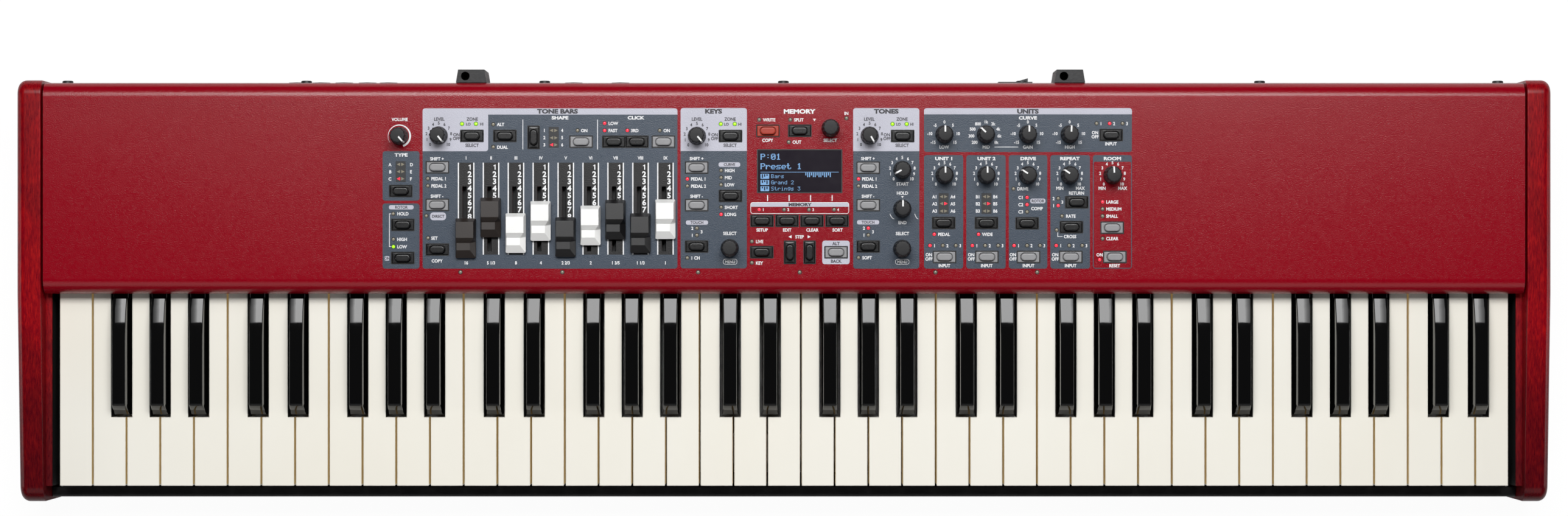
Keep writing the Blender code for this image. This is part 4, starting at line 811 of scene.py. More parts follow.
def make_black_key(number, centre):
    b = BLACK
    body = f"black_keys_{key_group(number)}"
    bm = bmesh.new()
    add_black_body(bm, centre)
    bmesh.ops.recalc_face_normals(bm, faces=bm.faces)
    round_black_edges(bm, centre)
    tail = rounded_box((centre - b["base"] / 2, centre + b["base"] / 2),
                       (KEY["step"], KEY["strip"]), 0.2 * MM, 1)
    add_prism(bm, tail, b["tail"][0] + 0.2 * MM, b["tail"][1] - 0.2 * MM)
    solid(f"black_key_{number:02d}", bm, body, GLOSS_BLACK, [body], 30)


def make_black_keys():
    middles = {n: black_middle(n) for n in range(KEY["count"]) if black_middle(n) is not None}
    for number, centre in middles.items():
        make_black_key(number, centre)
    for group in range(1, KEY["groups"] + 1):
        held = [centre for number, centre in middles.items() if key_group(number) == group]
        bm = bmesh.new()
        add_prism(bm, strip_outline(held[0] - BLACK["base"], held[-1] + BLACK["base"]),
                  *BLACK["tail"], 0.4 * MM, 1)
        solid(f"black_hinge_strip_{group}", bm, f"black_keys_{group}", MATTE_BLACK)


# Knobs: how far each is turned from pointing to the rear, clockwise; None has no pointer
KNOB_REST = {
    "knob_master": 140, "knob_organ_level": 142, "knob_piano_level": 140, "knob_program_dial": None,
    "knob_synth_level": 150, "knob_attack": -119, "knob_decay": 0, "knob_piano_select": None,
    "knob_sample_select": None, "knob_eq_bass": 0, "knob_eq_freq": -45, "knob_eq_gain": 0,
    "knob_eq_treble": 2, "knob_effect_1": 0, "knob_effect_2": 0, "knob_amp_drive": -56,
    "knob_delay_mix": -55, "knob_reverb_mix": -3,
}
# Radius, height and how much of the flutes' depth
KNOB_PROFILE = [
    (5.6, 80.6), (6.25, 80.9), (6.3, 81.6, 0.2), (6.1, 83, 0.8), (5.85, 86, 1), (5.65, 90, 1),
    (5.55, 93.6, 1), (5.4, 94.6, 0.9), (5.1, 95.15, 0.6), (4.7, 95.4, 0.3), (4.2, 95.45), (0.4, 95.4),
]
FLUTES = 12
POINTER_PATH = [(1.2, 95.5), (4.5, 95.5), (5.15, 95.3), (5.5, 94.75), (5.7, 93.6), (5.85, 90), (6.05, 86)]
KNOB_SHAFT = [(3, 70.5), (3, 80.8)]
FLUTE = 0.55 * MM
POINTER_HALF = 0.55 * MM


def node_middle(name):
    low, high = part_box(name)
    return ((low.x + high.x) / 2, (low.y + high.y) / 2)


def make_pointer(name, middle, turn):
    """A white line over the top and down the side of a knob."""
    angle = math.radians(turn)
    along = Vector((math.sin(angle), math.cos(angle), 0))
    across = Vector((math.cos(angle), -math.sin(angle), 0)) * POINTER_HALF
    rings = []
    for radius, z in POINTER_PATH:
        spot = Vector((*middle, z * MM)) + along * radius * MM
        inward = along * -0.35 * MM if z < 95.2 else Vector((0, 0, -0.25 * MM))
        rings.append([spot - across, spot + across, spot + across + inward, spot - across + inward])
    bm = bmesh.new()
    add_loft(bm, rings)
    solid(f"{name}_pointer", bm, name, POINTER_INK)


def make_knobs():
    for name, turn in KNOB_REST.items():
        middle = node_middle(name)
        bm = bmesh.new()
        add_turned(bm, middle, KNOB_PROFILE, 144, FLUTE)
        add_turned(bm, middle, KNOB_SHAFT, 20)
        solid(f"{name}_cap", bm, name, KNOB_BLACK, [name], 40)
        if turn is not None:
            make_pointer(name, middle, turn)


# Drawbars
BAR_FINISH = [BROWN_PLASTIC, BROWN_PLASTIC, WHITE_PLASTIC, WHITE_PLASTIC, BLACK_PLASTIC,
              WHITE_PLASTIC, BLACK_PLASTIC, BLACK_PLASTIC, WHITE_PLASTIC]
# The stem's place, from the cap's middle and from its rear edge, and its size
STEM_PLACE = (1.1 * MM, 19 * MM)
STEM_SIZE = (2 * MM, 4 * MM)


def cap_faces(bm, x, rear):
    """A stepped cap: a flat, a step down to a narrower nose with diagonal flanks, on a skirt."""
    def spot(u, v, z):
        return bm.verts.new((x + u * MM, rear - v * MM, z * MM))

    foot = [spot(-7, 0, 81), spot(7, 0, 81), spot(7, 27.4, 81), spot(-7, 27.4, 81)]
    skirt = [spot(-7, 0, 84.5), spot(7, 0, 84.5), spot(7, 16.2, 84.2), spot(7, 27.4, 83.4),
             spot(-7, 27.4, 83.4), spot(-7, 16.2, 84.2)]
    flat = [spot(-6.2, 2.6, 91), spot(5.9, 2.6, 91), spot(5.9, 13.6, 91), spot(-6.2, 13.6, 91)]
    nose = [spot(-6.1, 17, 87.6), spot(3.3, 17, 87.6), spot(3.3, 22.1, 87.6), spot(-6.1, 22.1, 87.6)]
    faces = [
        foot[::-1], flat, (flat[3], flat[2], nose[1], nose[0]), nose,
        (skirt[0], skirt[1], flat[1], flat[0]),
        (skirt[1], skirt[2], flat[2], flat[1]), (skirt[2], nose[1], flat[2]),
        (skirt[2], skirt[3], nose[2], nose[1]), (nose[3], nose[2], skirt[3], skirt[4]),
        (skirt[5], skirt[0], flat[0], flat[3]), (skirt[5], flat[3], nose[0]),
        (skirt[4], skirt[5], nose[0], nose[3]),
        (foot[0], foot[1], skirt[1], skirt[0]), (foot[1], foot[2], skirt[3], skirt[2], skirt[1]),
        (foot[2], foot[3], skirt[4], skirt[3]), (foot[3], foot[0], skirt[0], skirt[5], skirt[4]),
    ]
    for face in faces:
        bm.faces.new(face)


def round_cap(bm):
    """Rounds the uprights of the skirt, then every edge above the foot."""
    bmesh.ops.recalc_face_normals(bm, faces=bm.faces)
    uprights = [e for e in bm.edges if (e.verts[0].co.xy - e.verts[1].co.xy).length < 0.01 * MM
                and max(v.co.z for v in e.verts) < 85 * MM]
    bevel_edges(bm, uprights, 1 * MM, 3)
    edges = [e for e in bm.edges if max(v.co.z for v in e.verts) > 81.5 * MM
             and len(e.link_faces) == 2 and e.calc_face_angle(0) > math.radians(12)]
    bevel_edges(bm, edges, 0.45 * MM, 3, clamp=True)


def make_drawbars():
    for index, finish in enumerate(BAR_FINISH):
        node = f"drawbar_{index + 1}"
        low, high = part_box(node)
        middle = (low.x + high.x) / 2
        bm = bmesh.new()
        cap_faces(bm, middle, high.y)
        round_cap(bm)
        stem = centred((middle - STEM_PLACE[0], high.y - STEM_PLACE[1]), STEM_SIZE, 0.2 * MM, 1)
        add_prism(bm, stem, low.z, 81.2 * MM)
        even_normals(solid(f"{node}_cap", bm, node, finish, [node], 40))


# Push buttons
BEZEL = (16.1 * MM, 8.4 * MM)
PLATE = (15.1 * MM, 7.5 * MM)
PILL = (10.6 * MM, 5.1 * MM)
PAD = (17 * MM, 10 * MM)
PAD_DEPTH = 1.4 * MM
# In millimetres: how far the plate's plan is drawn in, its corner radius, and the height
PLATE_STEPS = [(0, 0.5, 75.9), (0, 0.5, 79.3), (0.25, 0.45, 79.7), (0.8, 0.3, 79.9)]
# In millimetres: how far the groove's plan is widened and the pill's drawn in, and the height
GROOVE_STEPS = [(0.2, 79.9), (0, 79.7), (0, 78.4)]
PILL_STEPS = [(0, 78.4), (0, 81.3), (0.16, 81.8), (0.6, 82.2), (1.2, 82.37), (2, 82.4)]
BEZEL_FOOT = 77 * MM
DARK, LIGHT, RED = "dark", "light", "red"
BUTTON_FINISH = {DARK: DARK_RUBBER, LIGHT: LIGHT_RUBBER, RED: RED_RUBBER}
# Place in millimetres on the panel, colour, and whether the button stands upright
BUTTONS = {
    "organ": [
        (-265, 69.9, DARK, False), (-263.6, 46.5, DARK, False), (-263.6, 23.6, DARK, False),
        (-215.8, 108, DARK, False), (-193, 108, DARK, False), (-173.1, 107, DARK, True),
        (-140.3, 104, LIGHT, False), (-117.7, 104, DARK, False), (-101.7, 104, DARK, False),
        (-83.4, 104, LIGHT, False), (-239.7, 86.3, LIGHT, False), (-239.8, 60.3, LIGHT, False),
        (-239.7, 29.4, DARK, False),
    ],
    "piano": [
        (-37, 107.9, DARK, False), (-60.4, 86.1, LIGHT, False), (-60.4, 60.1, LIGHT, False),
        (-37, 66.5, DARK, False), (-60.4, 31.5, DARK, False),
    ],
    "program": [
        (-11.1, 111.5, RED, False), (10.9, 111.6, DARK, False), (-15.2, 49.3, DARK, False),
        (2.1, 49.3, DARK, False), (19.3, 49.3, DARK, False), (36.7, 49.3, DARK, False),
        (-15.4, 27.6, DARK, False), (4.1, 27.5, DARK, True), (17.7, 27.5, DARK, True),
        (36, 27.5, LIGHT, False),
    ],
    "synth": [
        (82, 107.9, DARK, False), (58.2, 86, LIGHT, False), (58.2, 60.1, LIGHT, False),
        (58.2, 31.5, DARK, False),
    ],
    "effects": [
        (226.2, 108.6, DARK, False), (110.4, 47.8, DARK, False), (111, 24.3, LIGHT, False),
        (140, 47.8, DARK, False), (140.3, 24.3, LIGHT, False), (168.1, 47.6, DARK, False),
        (169.1, 24.3, LIGHT, False), (202.4, 62.1, DARK, False), (198.7, 44.9, DARK, False),
        (198.3, 24.3, LIGHT, False), (226.9, 44.5, LIGHT, False), (228.8, 24.3, LIGHT, False),
    ],
}


def turned_size(size, upright):
    return (size[1], size[0]) if upright else size


def button_spot(entry):
    return (entry[0] * MM, entry[1] * MM + PLAN_SHIFT)


def grown(size, by):
    return (size[0] + by, size[1] + by)


def add_button(bm, spot, plate, pill):
    """A plate with a groove round a raised pill, from the plate's foot to the pill's top."""
    radius = min(pill) / 2 - 0.02 * MM
    groove = grown(pill, 0.9 * MM)
    levels = []
    for by, corner, z in PLATE_STEPS:
        levels.append((centred(spot, grown(plate, -by * MM), corner * MM, 8), z * MM))
    for by, z in GROOVE_STEPS:
        levels.append((centred(spot, grown(groove, by * MM), radius + (0.45 + by / 2) * MM, 8), z * MM))
    for by, z in PILL_STEPS:
        levels.append((centred(spot, grown(pill, -by * MM), radius - by / 2 * MM, 8), z * MM))
    add_levels(bm, levels)


def inset(outline, spot, by):
    """An outline drawn a little towards its middle, by millimetres."""
    points = []
    for u, v in outline:
        du = math.copysign(min(by * MM, abs(u - spot[0])), u - spot[0])
        dv = math.copysign(min(by * MM, abs(v - spot[1])), v - spot[1])
        points.append((u - du, v - dv))
    return points


def add_bezel(bm, spot, size):
    """A thin bezel: an upright wall round the cut-out with a flat lip on the panel."""
    outer = centred(spot, grown(size, 0.3 * MM), 0.5 * MM, 3)
    inner = centred(spot, grown(size, -0.7 * MM), 0.35 * MM, 3)
    levels = [(outer, PANEL_Z), (outer, BEZEL_Z - 0.1 * MM), (inset(outer, spot, 0.1), BEZEL_Z),
              (inner, BEZEL_Z), (inner, BEZEL_FOOT), (inset(outer, spot, 0.2), BEZEL_FOOT)]
    rings = new_rings(bm, [[(u, v, z) for u, v in outline] for outline, z in levels])
    add_sides(bm, rings, closed=True)


def make_buttons():
    for section, entries in BUTTONS.items():
        mat = f"button_mat_{section}"
        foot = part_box(mat)[0].z
        bezels, pads = bmesh.new(), bmesh.new()
        for number, entry in enumerate(entries, 1):
            spot = button_spot(entry)
            _, _, colour, upright = entry
            bm = bmesh.new()
            add_button(bm, spot, turned_size(PLATE, upright), turned_size(PILL, upright))
            even_normals(solid(f"button_{section}_{number:02d}", bm, mat, BUTTON_FINISH[colour],
                               [mat], 50))
            add_bezel(bezels, spot, turned_size(BEZEL, upright))
            pad = centred(spot, turned_size(PAD, upright), 1 * MM, 2)
            add_prism(pads, pad, foot, foot + PAD_DEPTH)
        fixed(f"button_bezels_{section}", bezels, MATTE_BLACK)
        solid(f"button_pads_{section}", pads, mat, DARK_RUBBER)


# Panel fields, with holes for what comes through them; boxes are two corners in pixels
CORNER = 1.8 * MM
SLATE_FIELDS = {
    "field_model": (628.6, 248.5, 689.2, 329.9), "field_rotor": (628.6, 334.3, 689.2, 441.5),
    "field_bars": (694.3, 178.1, 1113.0, 441.5), "field_keys": (1118.1, 177.6, 1227.0, 441.1),
    "field_tones": (1401.6, 177.7, 1510.3, 441.5), "field_curve": (1518.0, 177.7, 1859.5, 249.8),
    "field_unit_1": (1518.0, 254.9, 1582.4, 441.5), "field_unit_2": (1587.5, 254.9, 1652.2, 441.5),
    "field_unit_3": (1657.3, 254.9, 1720.5, 441.5), "field_unit_4": (1725.6, 254.9, 1790.7, 441.5),
}
LIGHT_BLOCKS = {
    "block_bars": (694.3, 178.1, 802.1, 248.5), "block_keys": (1118.1, 177.6, 1227.0, 248.2),
    "block_tones": (1401.6, 177.7, 1510.3, 248.5), "block_units": (1518.0, 177.7, 1859.5, 187.9),
    "block_shift": (1350.8, 395.4, 1395.9, 434.2),
}
# The header strip that runs on from the block over the drawbars: its right end and front edge
STRIP_END = (1113.0, 188.3)
# In millimetres: the middles of the drawbar columns, and what lies about them
BAR_COLUMNS = [-219.8 + 17.23 * i for i in range(9)]
COLUMN_HALF = 4.9
COLUMN_Y = (25.9, 89.5)
LINE_X = 5.33
LINE_HALF = 0.42
SLOT_X = -1.1
SLOT_HALF = 1.5
SLOT_Y = (28.2, 73.1)


def inside(spot, box):
    x0, y1 = at(box[0], box[1])
    x1, y0 = at(box[2], box[3])
    return x0 < spot[0] < x1 and y0 < spot[1] < y1


def button_holes(box):
    holes = []
    for entries in BUTTONS.values():
        for entry in entries:
            spot = button_spot(entry)
            if inside(spot, box):
                holes.append(centred(spot, grown(turned_size(BEZEL, entry[3]), -0.5 * MM), 0.3 * MM, 2))
    return holes


def upright_box(x, half, y, radius):
    """Plan outline of a narrow form along Y: its middle, half width, ends and corners in mm."""
    ends = [v * MM + PLAN_SHIFT for v in y]
    return rounded_box(((x - half) * MM, (x + half) * MM), ends, radius * MM, 1)


def column_slot(x):
    return upright_box(x + SLOT_X, SLOT_HALF, SLOT_Y, 0.2)


def rear_corners(left, right, rear):
    """The two round corners at the rear of a field, from right to left."""
    return (arc((right - CORNER, rear - CORNER), CORNER, 0, 90, 5)
            + arc((left + CORNER, rear - CORNER), CORNER, 90, 180, 5))


def square_foot_box(x0, y0, x1, y1):
    """A block whose two rear corners are round and whose front corners are square."""
    left, rear = at(x0, y0)
    right, front = at(x1, y1)
    return [(left, front), (right, front)] + rear_corners(left, right, rear)


def bars_block(x0, y0, x1, y1):
    """The header strip and the block at its left end, as one outline."""
    left, rear = at(x0, y0)
    edge, front = at(x1, y1)
    right, strip = at(*STRIP_END)
    points = [(left, front)] + arc((edge - CORNER, front + CORNER), CORNER, 270, 360, 5)
    return points + [(edge, strip), (right, strip)] + rear_corners(left, right, rear)


def make_fields():
    for name, box in SLATE_FIELDS.items():
        outlines = [px_box(*box, CORNER)] + button_holes(box)
        if name == "field_bars":
            outlines += [column_slot(x) for x in BAR_COLUMNS]
        layer(name, outlines, FIELD_Z, SLATE_PAINT, PANEL_Z - 0.02 * MM)
    for name, box in LIGHT_BLOCKS.items():
        if name == "block_bars":
            outline = bars_block(*box)
        elif name == "block_shift":
            outline = px_box(*box, CORNER)
        else:
            outline = square_foot_box(*box)
        layer(name, [outline] + button_holes(box), BLOCK_Z, LIGHT_PAINT, PANEL_Z - 0.01 * MM)


def make_columns():
    """The black column, white edge lines and slot lining of each drawbar."""
    columns, lines = [], []
    lining, rails = bmesh.new(), bmesh.new()
    for x in BAR_COLUMNS:
        columns += [upright_box(x, COLUMN_HALF, COLUMN_Y, 0.1), column_slot(x)]
        lines += [upright_box(x + side * LINE_X, LINE_HALF, COLUMN_Y, 0.05) for side in (-1, 1)]
        add_prism(lining, upright_box(x + SLOT_X, SLOT_HALF + 1.1, (SLOT_Y[0] - 1, SLOT_Y[1] + 1), 0.3),
                  70.3 * MM, 70.6 * MM)
        add_prism(rails, upright_box(x + SLOT_X + 0.55, 0.2, SLOT_Y, 0.1), 70.5 * MM, 74.5 * MM)
    layer("bar_columns", columns, BLOCK_Z, COLUMN_PAINT)
    layer("bar_lines", lines, BLOCK_Z + 0.02 * MM, WHITE_INK)
    fixed("slot_lining", lining, MATTE_BLACK)
    fixed("slot_rails", rails, KNOB_BLACK)


# Lettering
LETTER_DEPTH = 0.015 * MM


def letter_height():
    """Height of a capital of the built-in face at size 1."""
    probe = bpy.data.curves.new("probe", "FONT")
    probe.body = "H"
    heights = [v.co.y for v in curve_to_mesh(probe, Matrix.Identity(4)).vertices]
    return max(heights) - min(heights)


CAP = letter_height()


def add_words(bm, text, px, py, height_px, align="CENTER", narrow=0.92, weight=0.032):
    """Letters centred on a pixel's height; height_px is that of a capital."""
    curve = bpy.data.curves.new("words", "FONT")
    curve.body = text
    curve.align_x = align
    curve.size = height_px * PIXEL / CAP
    curve.offset = weight * curve.size
    curve.resolution_u = 3
    curve.extrude = LETTER_DEPTH
    x, y = at(px, py)
    foot = Matrix.Translation((x, y - height_px * PIXEL / 2, PRINT_Z))
    join_mesh(bm, curve_to_mesh(curve, foot @ Matrix.Diagonal((narrow, 1, 1, 1))))


def printed(name, finish, slot, groups, **style):
    """One piece of words; a group is an alignment, a capital's height and (text, pixel x, pixel y)."""
    bm = bmesh.new()
    for align, height, entries in groups:
        for text, px, py in entries:
            add_words(bm, text, px, py, height, align, **style)
    piece(name, plain_mesh(bm, name), "housing", finish)


C, L, R = "CENTER", "LEFT", "RIGHT"
TITLES_DARK = [
    (C, 6.6, [
        ("TONE BARS", 916, 183), ("KEYS", 1172, 183), ("TONES", 1456, 183), ("UNITS", 1688.5, 183),
    ]),
    (C, 4.8, [
        ("MEMORY", 1314, 336.2),
    ]),
]
TITLES_WHITE = [
    (C, 6.6, [
        ("MEMORY", 1313, 183.2),
    ]),
    (C, 5, [
        ("SHAPE", 920, 193.6), ("CLICK", 1044.5, 193.6), ("TYPE", 659, 254.6), ("CURVE", 1688.5, 193.8),
        ("UNIT 1", 1551, 260.6), ("UNIT 2", 1620.5, 260.6), ("DRIVE", 1689, 260.6),
        ("REPEAT", 1757.5, 260.6), ("ROOM", 1827.5, 260.6),
    ]),
]
LABELS_DARK = [
    (C, 5, [
        ("LEVEL", 721.5, 195.8), ("ZONE", 776, 195.8), ("ON", 750, 221.4), ("OFF", 750, 227.6),
        ("SELECT", 775.5, 238.8), ("LEVEL", 1145, 195.8), ("ZONE", 1199.5, 195.8), ("ON", 1174, 221.6),
        ("OFF", 1174, 227.8), ("SELECT", 1199.5, 238.8), ("LEVEL", 1428, 195.8), ("ZONE", 1482, 195.8),
        ("ON", 1457, 221.6), ("OFF", 1457, 227.8), ("SELECT", 1482, 238.8), ("ALT", 1373.5, 400.3),
        ("BACK", 1373.5, 429.2),
    ]),
    (L, 4.4, [
        ("LO", 765.5, 204), ("HI", 788.5, 204), ("LO", 1189.5, 204.2), ("HI", 1212.5, 204.2),
        ("LO", 1472, 204.2), ("HI", 1495, 204.2),
    ]),
]
LABELS_WHITE = [
    (C, 5, [
        ("VOLUME", 656.8, 196.4), ("SHIFT +", 718, 261), ("SHIFT -", 718, 322.5),
        ("SHIFT +", 1144.5, 260.6), ("SHIFT -", 1144.5, 322.6), ("SELECT", 1199, 383.6),
        ("COPY", 1261, 230.6), ("SELECT", 1364, 230.6), ("IN", 1390.5, 186.4), ("SETUP", 1252, 378),
        ("EDIT", 1293, 378), ("CLEAR", 1334.5, 378), ("SORT", 1376, 378), ("STEP", 1313.5, 389.2),
        ("SHIFT +", 1426, 260.6), ("SHIFT -", 1426, 322.6), ("START", 1482.5, 302.3),
        ("HOLD", 1482.5, 317.4), ("END", 1482.5, 365.8), ("SELECT", 1482.5, 383.8), ("LOW", 1551, 241.6),
        ("MID", 1620, 241.6), ("GAIN", 1688.5, 241.6), ("HIGH", 1757.5, 241.6), ("INPUT", 1825, 236.4),
        ("MIN", 1741, 309.4), ("MAX", 1774.5, 309.4), ("RETURN", 1768.5, 317.4), ("MIN", 1810.5, 309.4),
        ("MAX", 1844, 309.4), ("RESET", 1831, 436.6), ("ON", 1806.5, 418.8), ("ON", 1799, 218),
        ("OFF", 1799, 224.8), ("COPY", 718, 428.8),
    ]),
    (L, 5, [
        ("D", 673.5, 270.6), ("E", 673.5, 282.4), ("F", 673.5, 294.2), ("HOLD", 652.5, 351.3),
        ("HIGH", 652.5, 393.4), ("LOW", 652.5, 405.5), ("ALT", 816.5, 204.6), ("DUAL", 816.5, 242),
        ("ON", 954.5, 214.6), ("4", 922, 214.4), ("5", 922, 226.2), ("6", 922, 238),
        ("LOW", 999.5, 202.8), ("FAST", 999.5, 214.6), ("3RD", 1036.5, 214.6), ("ON", 1090, 214.6),
        ("PEDAL 1", 708.5, 293.8), ("PEDAL 2", 708.5, 305.6), ("SET", 708.5, 391.4),
        ("PEDAL 1", 1135, 294.2), ("PEDAL 2", 1135, 306), ("HIGH", 1190.5, 280.3), ("MID", 1190.5, 292),
        ("LOW", 1190.5, 303.8), ("SHORT", 1190.5, 340.8), ("LONG", 1190.5, 352.4), ("3", 1151, 381),
        ("1 CH", 1135, 424), ("WRITE", 1253.5, 197), ("SPLIT", 1304.5, 197), ("OUT", 1302, 233.6),
        ("LIVE", 1241.5, 397), ("KEY", 1241.5, 432.4), ("PEDAL 1", 1416, 294.2), ("PEDAL 2", 1416, 306),
        ("3", 1432.5, 381), ("SOFT", 1416.5, 423.6), ("1", 1807, 203.2), ("2", 1828.5, 203.2),
        ("3", 1849.8, 203.2), ("PEDAL", 1541, 385.2), ("WIDE", 1613.5, 385.2), ("DRIVE", 1671, 310.3),
        ("COMP", 1694, 342.8), ("3", 1743.5, 332.2), ("RATE", 1751, 355.3), ("CROSS", 1747.5, 388.8),
        ("LARGE", 1817, 332), ("MEDIUM", 1817, 343.6), ("SMALL", 1817, 355.3), ("CLEAR", 1817, 392.2),
    ]),
    (R, 5, [
        ("A", 643, 270.6), ("B", 643, 282.4), ("C", 643, 294.2), ("1", 896, 214.4), ("2", 896, 226.2),
        ("3", 896, 238), ("2", 1139, 375.2), ("1", 1139, 386.8), ("2", 1421, 375), ("1", 1421, 386.6),
        ("C1", 1681, 324.6), ("C2", 1681, 336.4), ("C3", 1681, 348.2), ("2", 1732.5, 326.4),
        ("1", 1732.5, 338),
    ]),
    (L, 4.4, [
        ("1", 1252.5, 344.6), ("2", 1293.5, 344.6), ("3", 1334.5, 344.6), ("4", 1375.5, 344.6),
    ]),
    (C, 3.9, [
        ("CLASS", 1145, 334.8),
    ]),
]
# What repeats from unit to unit: the middles of ON and OFF, and the first lamp of the row of three
for unit_x, row_x in ((1526, 1527.9), (1595.5, 1597.4), (1664, 1666.0), (1733.5, 1735.2)):
    digits = [(digit, row_x + 5.7 + 21.1 * step, 403.8) for step, digit in enumerate("123")]
    LABELS_WHITE.append((C, 5, [("ON", unit_x, 418.6), ("OFF", unit_x, 425.6),
                                ("INPUT", row_x + 23.5, 436.6)]))
    LABELS_WHITE.append((L, 5, digits))
# Two by three names beside the arrows of units 1 and 2
for word, left, right in (("A", 1539.5, 1561.5), ("B", 1610, 1631.5)):
    for step, py in enumerate((323.4, 335, 346.8), 1):
        LABELS_WHITE.append((R, 5, [(f"{word}{step}", left, py)]))
        LABELS_WHITE.append((L, 5, [(f"{word}{step + 3}", right, py)]))
PILLS = {
    (639, 337.2, 679.6, 344.2): "ROTOR", (706.7, 349, 732.9, 362): "DIRECT",
    (1180.4, 266.8, 1216.1, 274.2): "CURVE", (1126.8, 362.2, 1163.3, 369.4): "TOUCH",
    (1408, 361.7, 1444.3, 368.8): "TOUCH", (1692.5, 326.4, 1717.5, 334.2): "ROTOR",
    (631.2, 420.8, 640.6, 428.4): "ON",
}
BAR_FEET = ("16", "5 1/3", "8", "4", "2 2/3", "2", "1 3/5", "1 1/3", "1")
ROMAN = ("I", "II", "III", "IV", "V", "VI", "VII", "VIII", "IX")
# The figures beside a drawbar: from the column's middle, first row, step between rows, height
FIGURES = (5.9, 274.7, 11.62, 8.6)
ROMAN_PY = 259.6
FEET_PY = 432
# The figure 1 in pixels about its middle, clockwise from its foot
FIGURE_ONE = [(0, 4.3), (0, -1.9), (-2, -1.6), (-2, -2.7), (-0.5, -3.2), (0.4, -4.3), (1.7, -4.3),
              (1.7, 4.3)]


def make_bar_figures():
    right, first, step, height = FIGURES
    numbers, ones, feet = [], [], []
    for x, foot, roman in zip(BAR_COLUMNS, BAR_FEET, ROMAN):
        middle = CENTRE_PX[0] + x * MM / PIXEL
        numbers += [(str(digit + 1), middle + right, first + step * digit) for digit in range(1, 8)]
        ones.append([at(middle + right + u, first + v) for u, v in FIGURE_ONE])
        feet += [(foot, middle, FEET_PY), (roman, middle, ROMAN_PY)]
    printed("bar_numbers", WHITE_INK, "white_plastic", [(C, height, numbers)], narrow=1.02, weight=0.036)
    layer("bar_ones", ones, PRINT_Z + LETTER_DEPTH, WHITE_INK)
    printed("bar_feet", WHITE_INK, "white_plastic", [(C, 5, feet)])


def make_legends():
    printed("titles_dark", DARK_INK, "matte_black", TITLES_DARK, narrow=1.3, weight=0.055)
    printed("titles_white", WHITE_INK, "white_plastic", TITLES_WHITE, narrow=1.3, weight=0.045)
    printed("labels_white", WHITE_INK, "white_plastic", LABELS_WHITE)
    printed("labels_dark", DARK_INK, "matte_black", LABELS_DARK)
    make_bar_figures()
    grounds = [px_box(*box, (box[3] - box[1]) * PIXEL / 2.4, 5) for box in PILLS]
    layer("pill_grounds", grounds, BLOCK_Z + 0.01 * MM, LIGHT_PAINT)
    words = [(text, (box[0] + box[2]) / 2, (box[1] + box[3]) / 2) for box, text in PILLS.items()]
    printed("pill_words", DARK_INK, "matte_black", [(C, 4.3, words)], narrow=0.95)


# Numbers round the knobs
TENS = [str(i) for i in range(11)]
DECIBELS = ["-15", "-10", "-5", "0", "5", "10", "15"]
HERTZ = ["200", "300", "500", "800", "1k", "2k", "4k", "6k", "8k"]
DARK_DIALS = {"knob_organ_level": TENS, "knob_piano_level": TENS, "knob_synth_level": TENS}
LIGHT_DIALS = {
    "knob_attack": TENS, "knob_effect_1": TENS, "knob_effect_2": TENS, "knob_amp_drive": TENS,
    "knob_delay_mix": TENS, "knob_reverb_mix": TENS, "knob_eq_bass": DECIBELS,
    "knob_eq_gain": DECIBELS, "knob_eq_treble": DECIBELS, "knob_eq_freq": HERTZ,
}
DIAL_REACH = 8.6 * MM / PIXEL


def add_dial(bm, node, texts):
    """Numbers spread evenly over plus and minus the span; longer ones stand further out at the sides."""
    x, y = node_middle(node)
    px = CENTRE_PX[0] + x / PIXEL
    py = CENTRE_PX[1] - (y - PLAN_SHIFT) / PIXEL
    span = 136 if texts is TENS else 130
    for i, text in enumerate(texts):
        angle = math.radians(-span + 2 * span * i / (len(texts) - 1))
        aside = DIAL_REACH * (1 + 0.09 * (len(text) - 1)) * math.sin(angle)
        add_words(bm, text, px + aside, py - DIAL_REACH * math.cos(angle), 4.8)


def make_dials():
    for name, dials, finish, slot in (("dial_numbers_dark", DARK_DIALS, DARK_INK, "matte_black"),
                                      ("dial_numbers_white", LIGHT_DIALS, WHITE_INK, "white_plastic")):
        bm = bmesh.new()
        for node, texts in dials.items():
            add_dial(bm, node, texts)
        piece(name, plain_mesh(bm, name), "housing", finish)


# Printed lines, arrows and frames, in pixels of the photograph
PRINTED_BARS = [
    (858.4, 196.6, 859.5, 245.7), (981.1, 196.6, 982.2, 245.7), (1633.8, 241.2, 1672.8, 242.2),
    (639.2, 351, 640.2, 405.9), (640.2, 351, 643.5, 352), (640.2, 404.9, 643.5, 405.9),
    (1737.2, 382, 1738.2, 389.2), (1738.2, 388.2, 1745.5, 389.2),
]
# Places of the arrows, half their size, and -1 for left, 1 for right or 0 for down
PRINTED_ARROWS = [(1297.8, 389.1, 2.6, -1), (1329.4, 389.1, 2.6, 1), (1338, 197, 2.6, 0),
                  (1482.5, 323.8, 2.2, 0)]
# Where a falling curve starts, how wide it is and how deep it falls
FALLING_CURVES = [(1461.8, 351.4, 7.4, 8.4), (1502.6, 351.4, 6, 8.4)]
TICK_X = (1261.0, 1296.4, 1331.6, 1367.1)
TICK_Y = (320.7, 330.4)
# Two corners and the width of the line
PRINTED_FRAMES = [(1187.8, 425.5, 1211.2, 434.7, 0.8), (1470.8, 425.8, 1493.8, 434.8, 0.8),
                  (1232.9, 332.4, 1394.9, 351.3, 0.9)]
MENU_WORDS = [("MENU", 1199.5, 430.2), ("MENU", 1482.3, 430.4)]
MEMORY_BAND = (1233.4, 332.9, 1394.4, 339.8)
# The last unit's field is an open frame
UNIT_FRAME = (1795.4, 254.9, 1859.5, 441.5)
UNIT_OPENING = (1796.8, 265.8, 1858.1, 440.1)
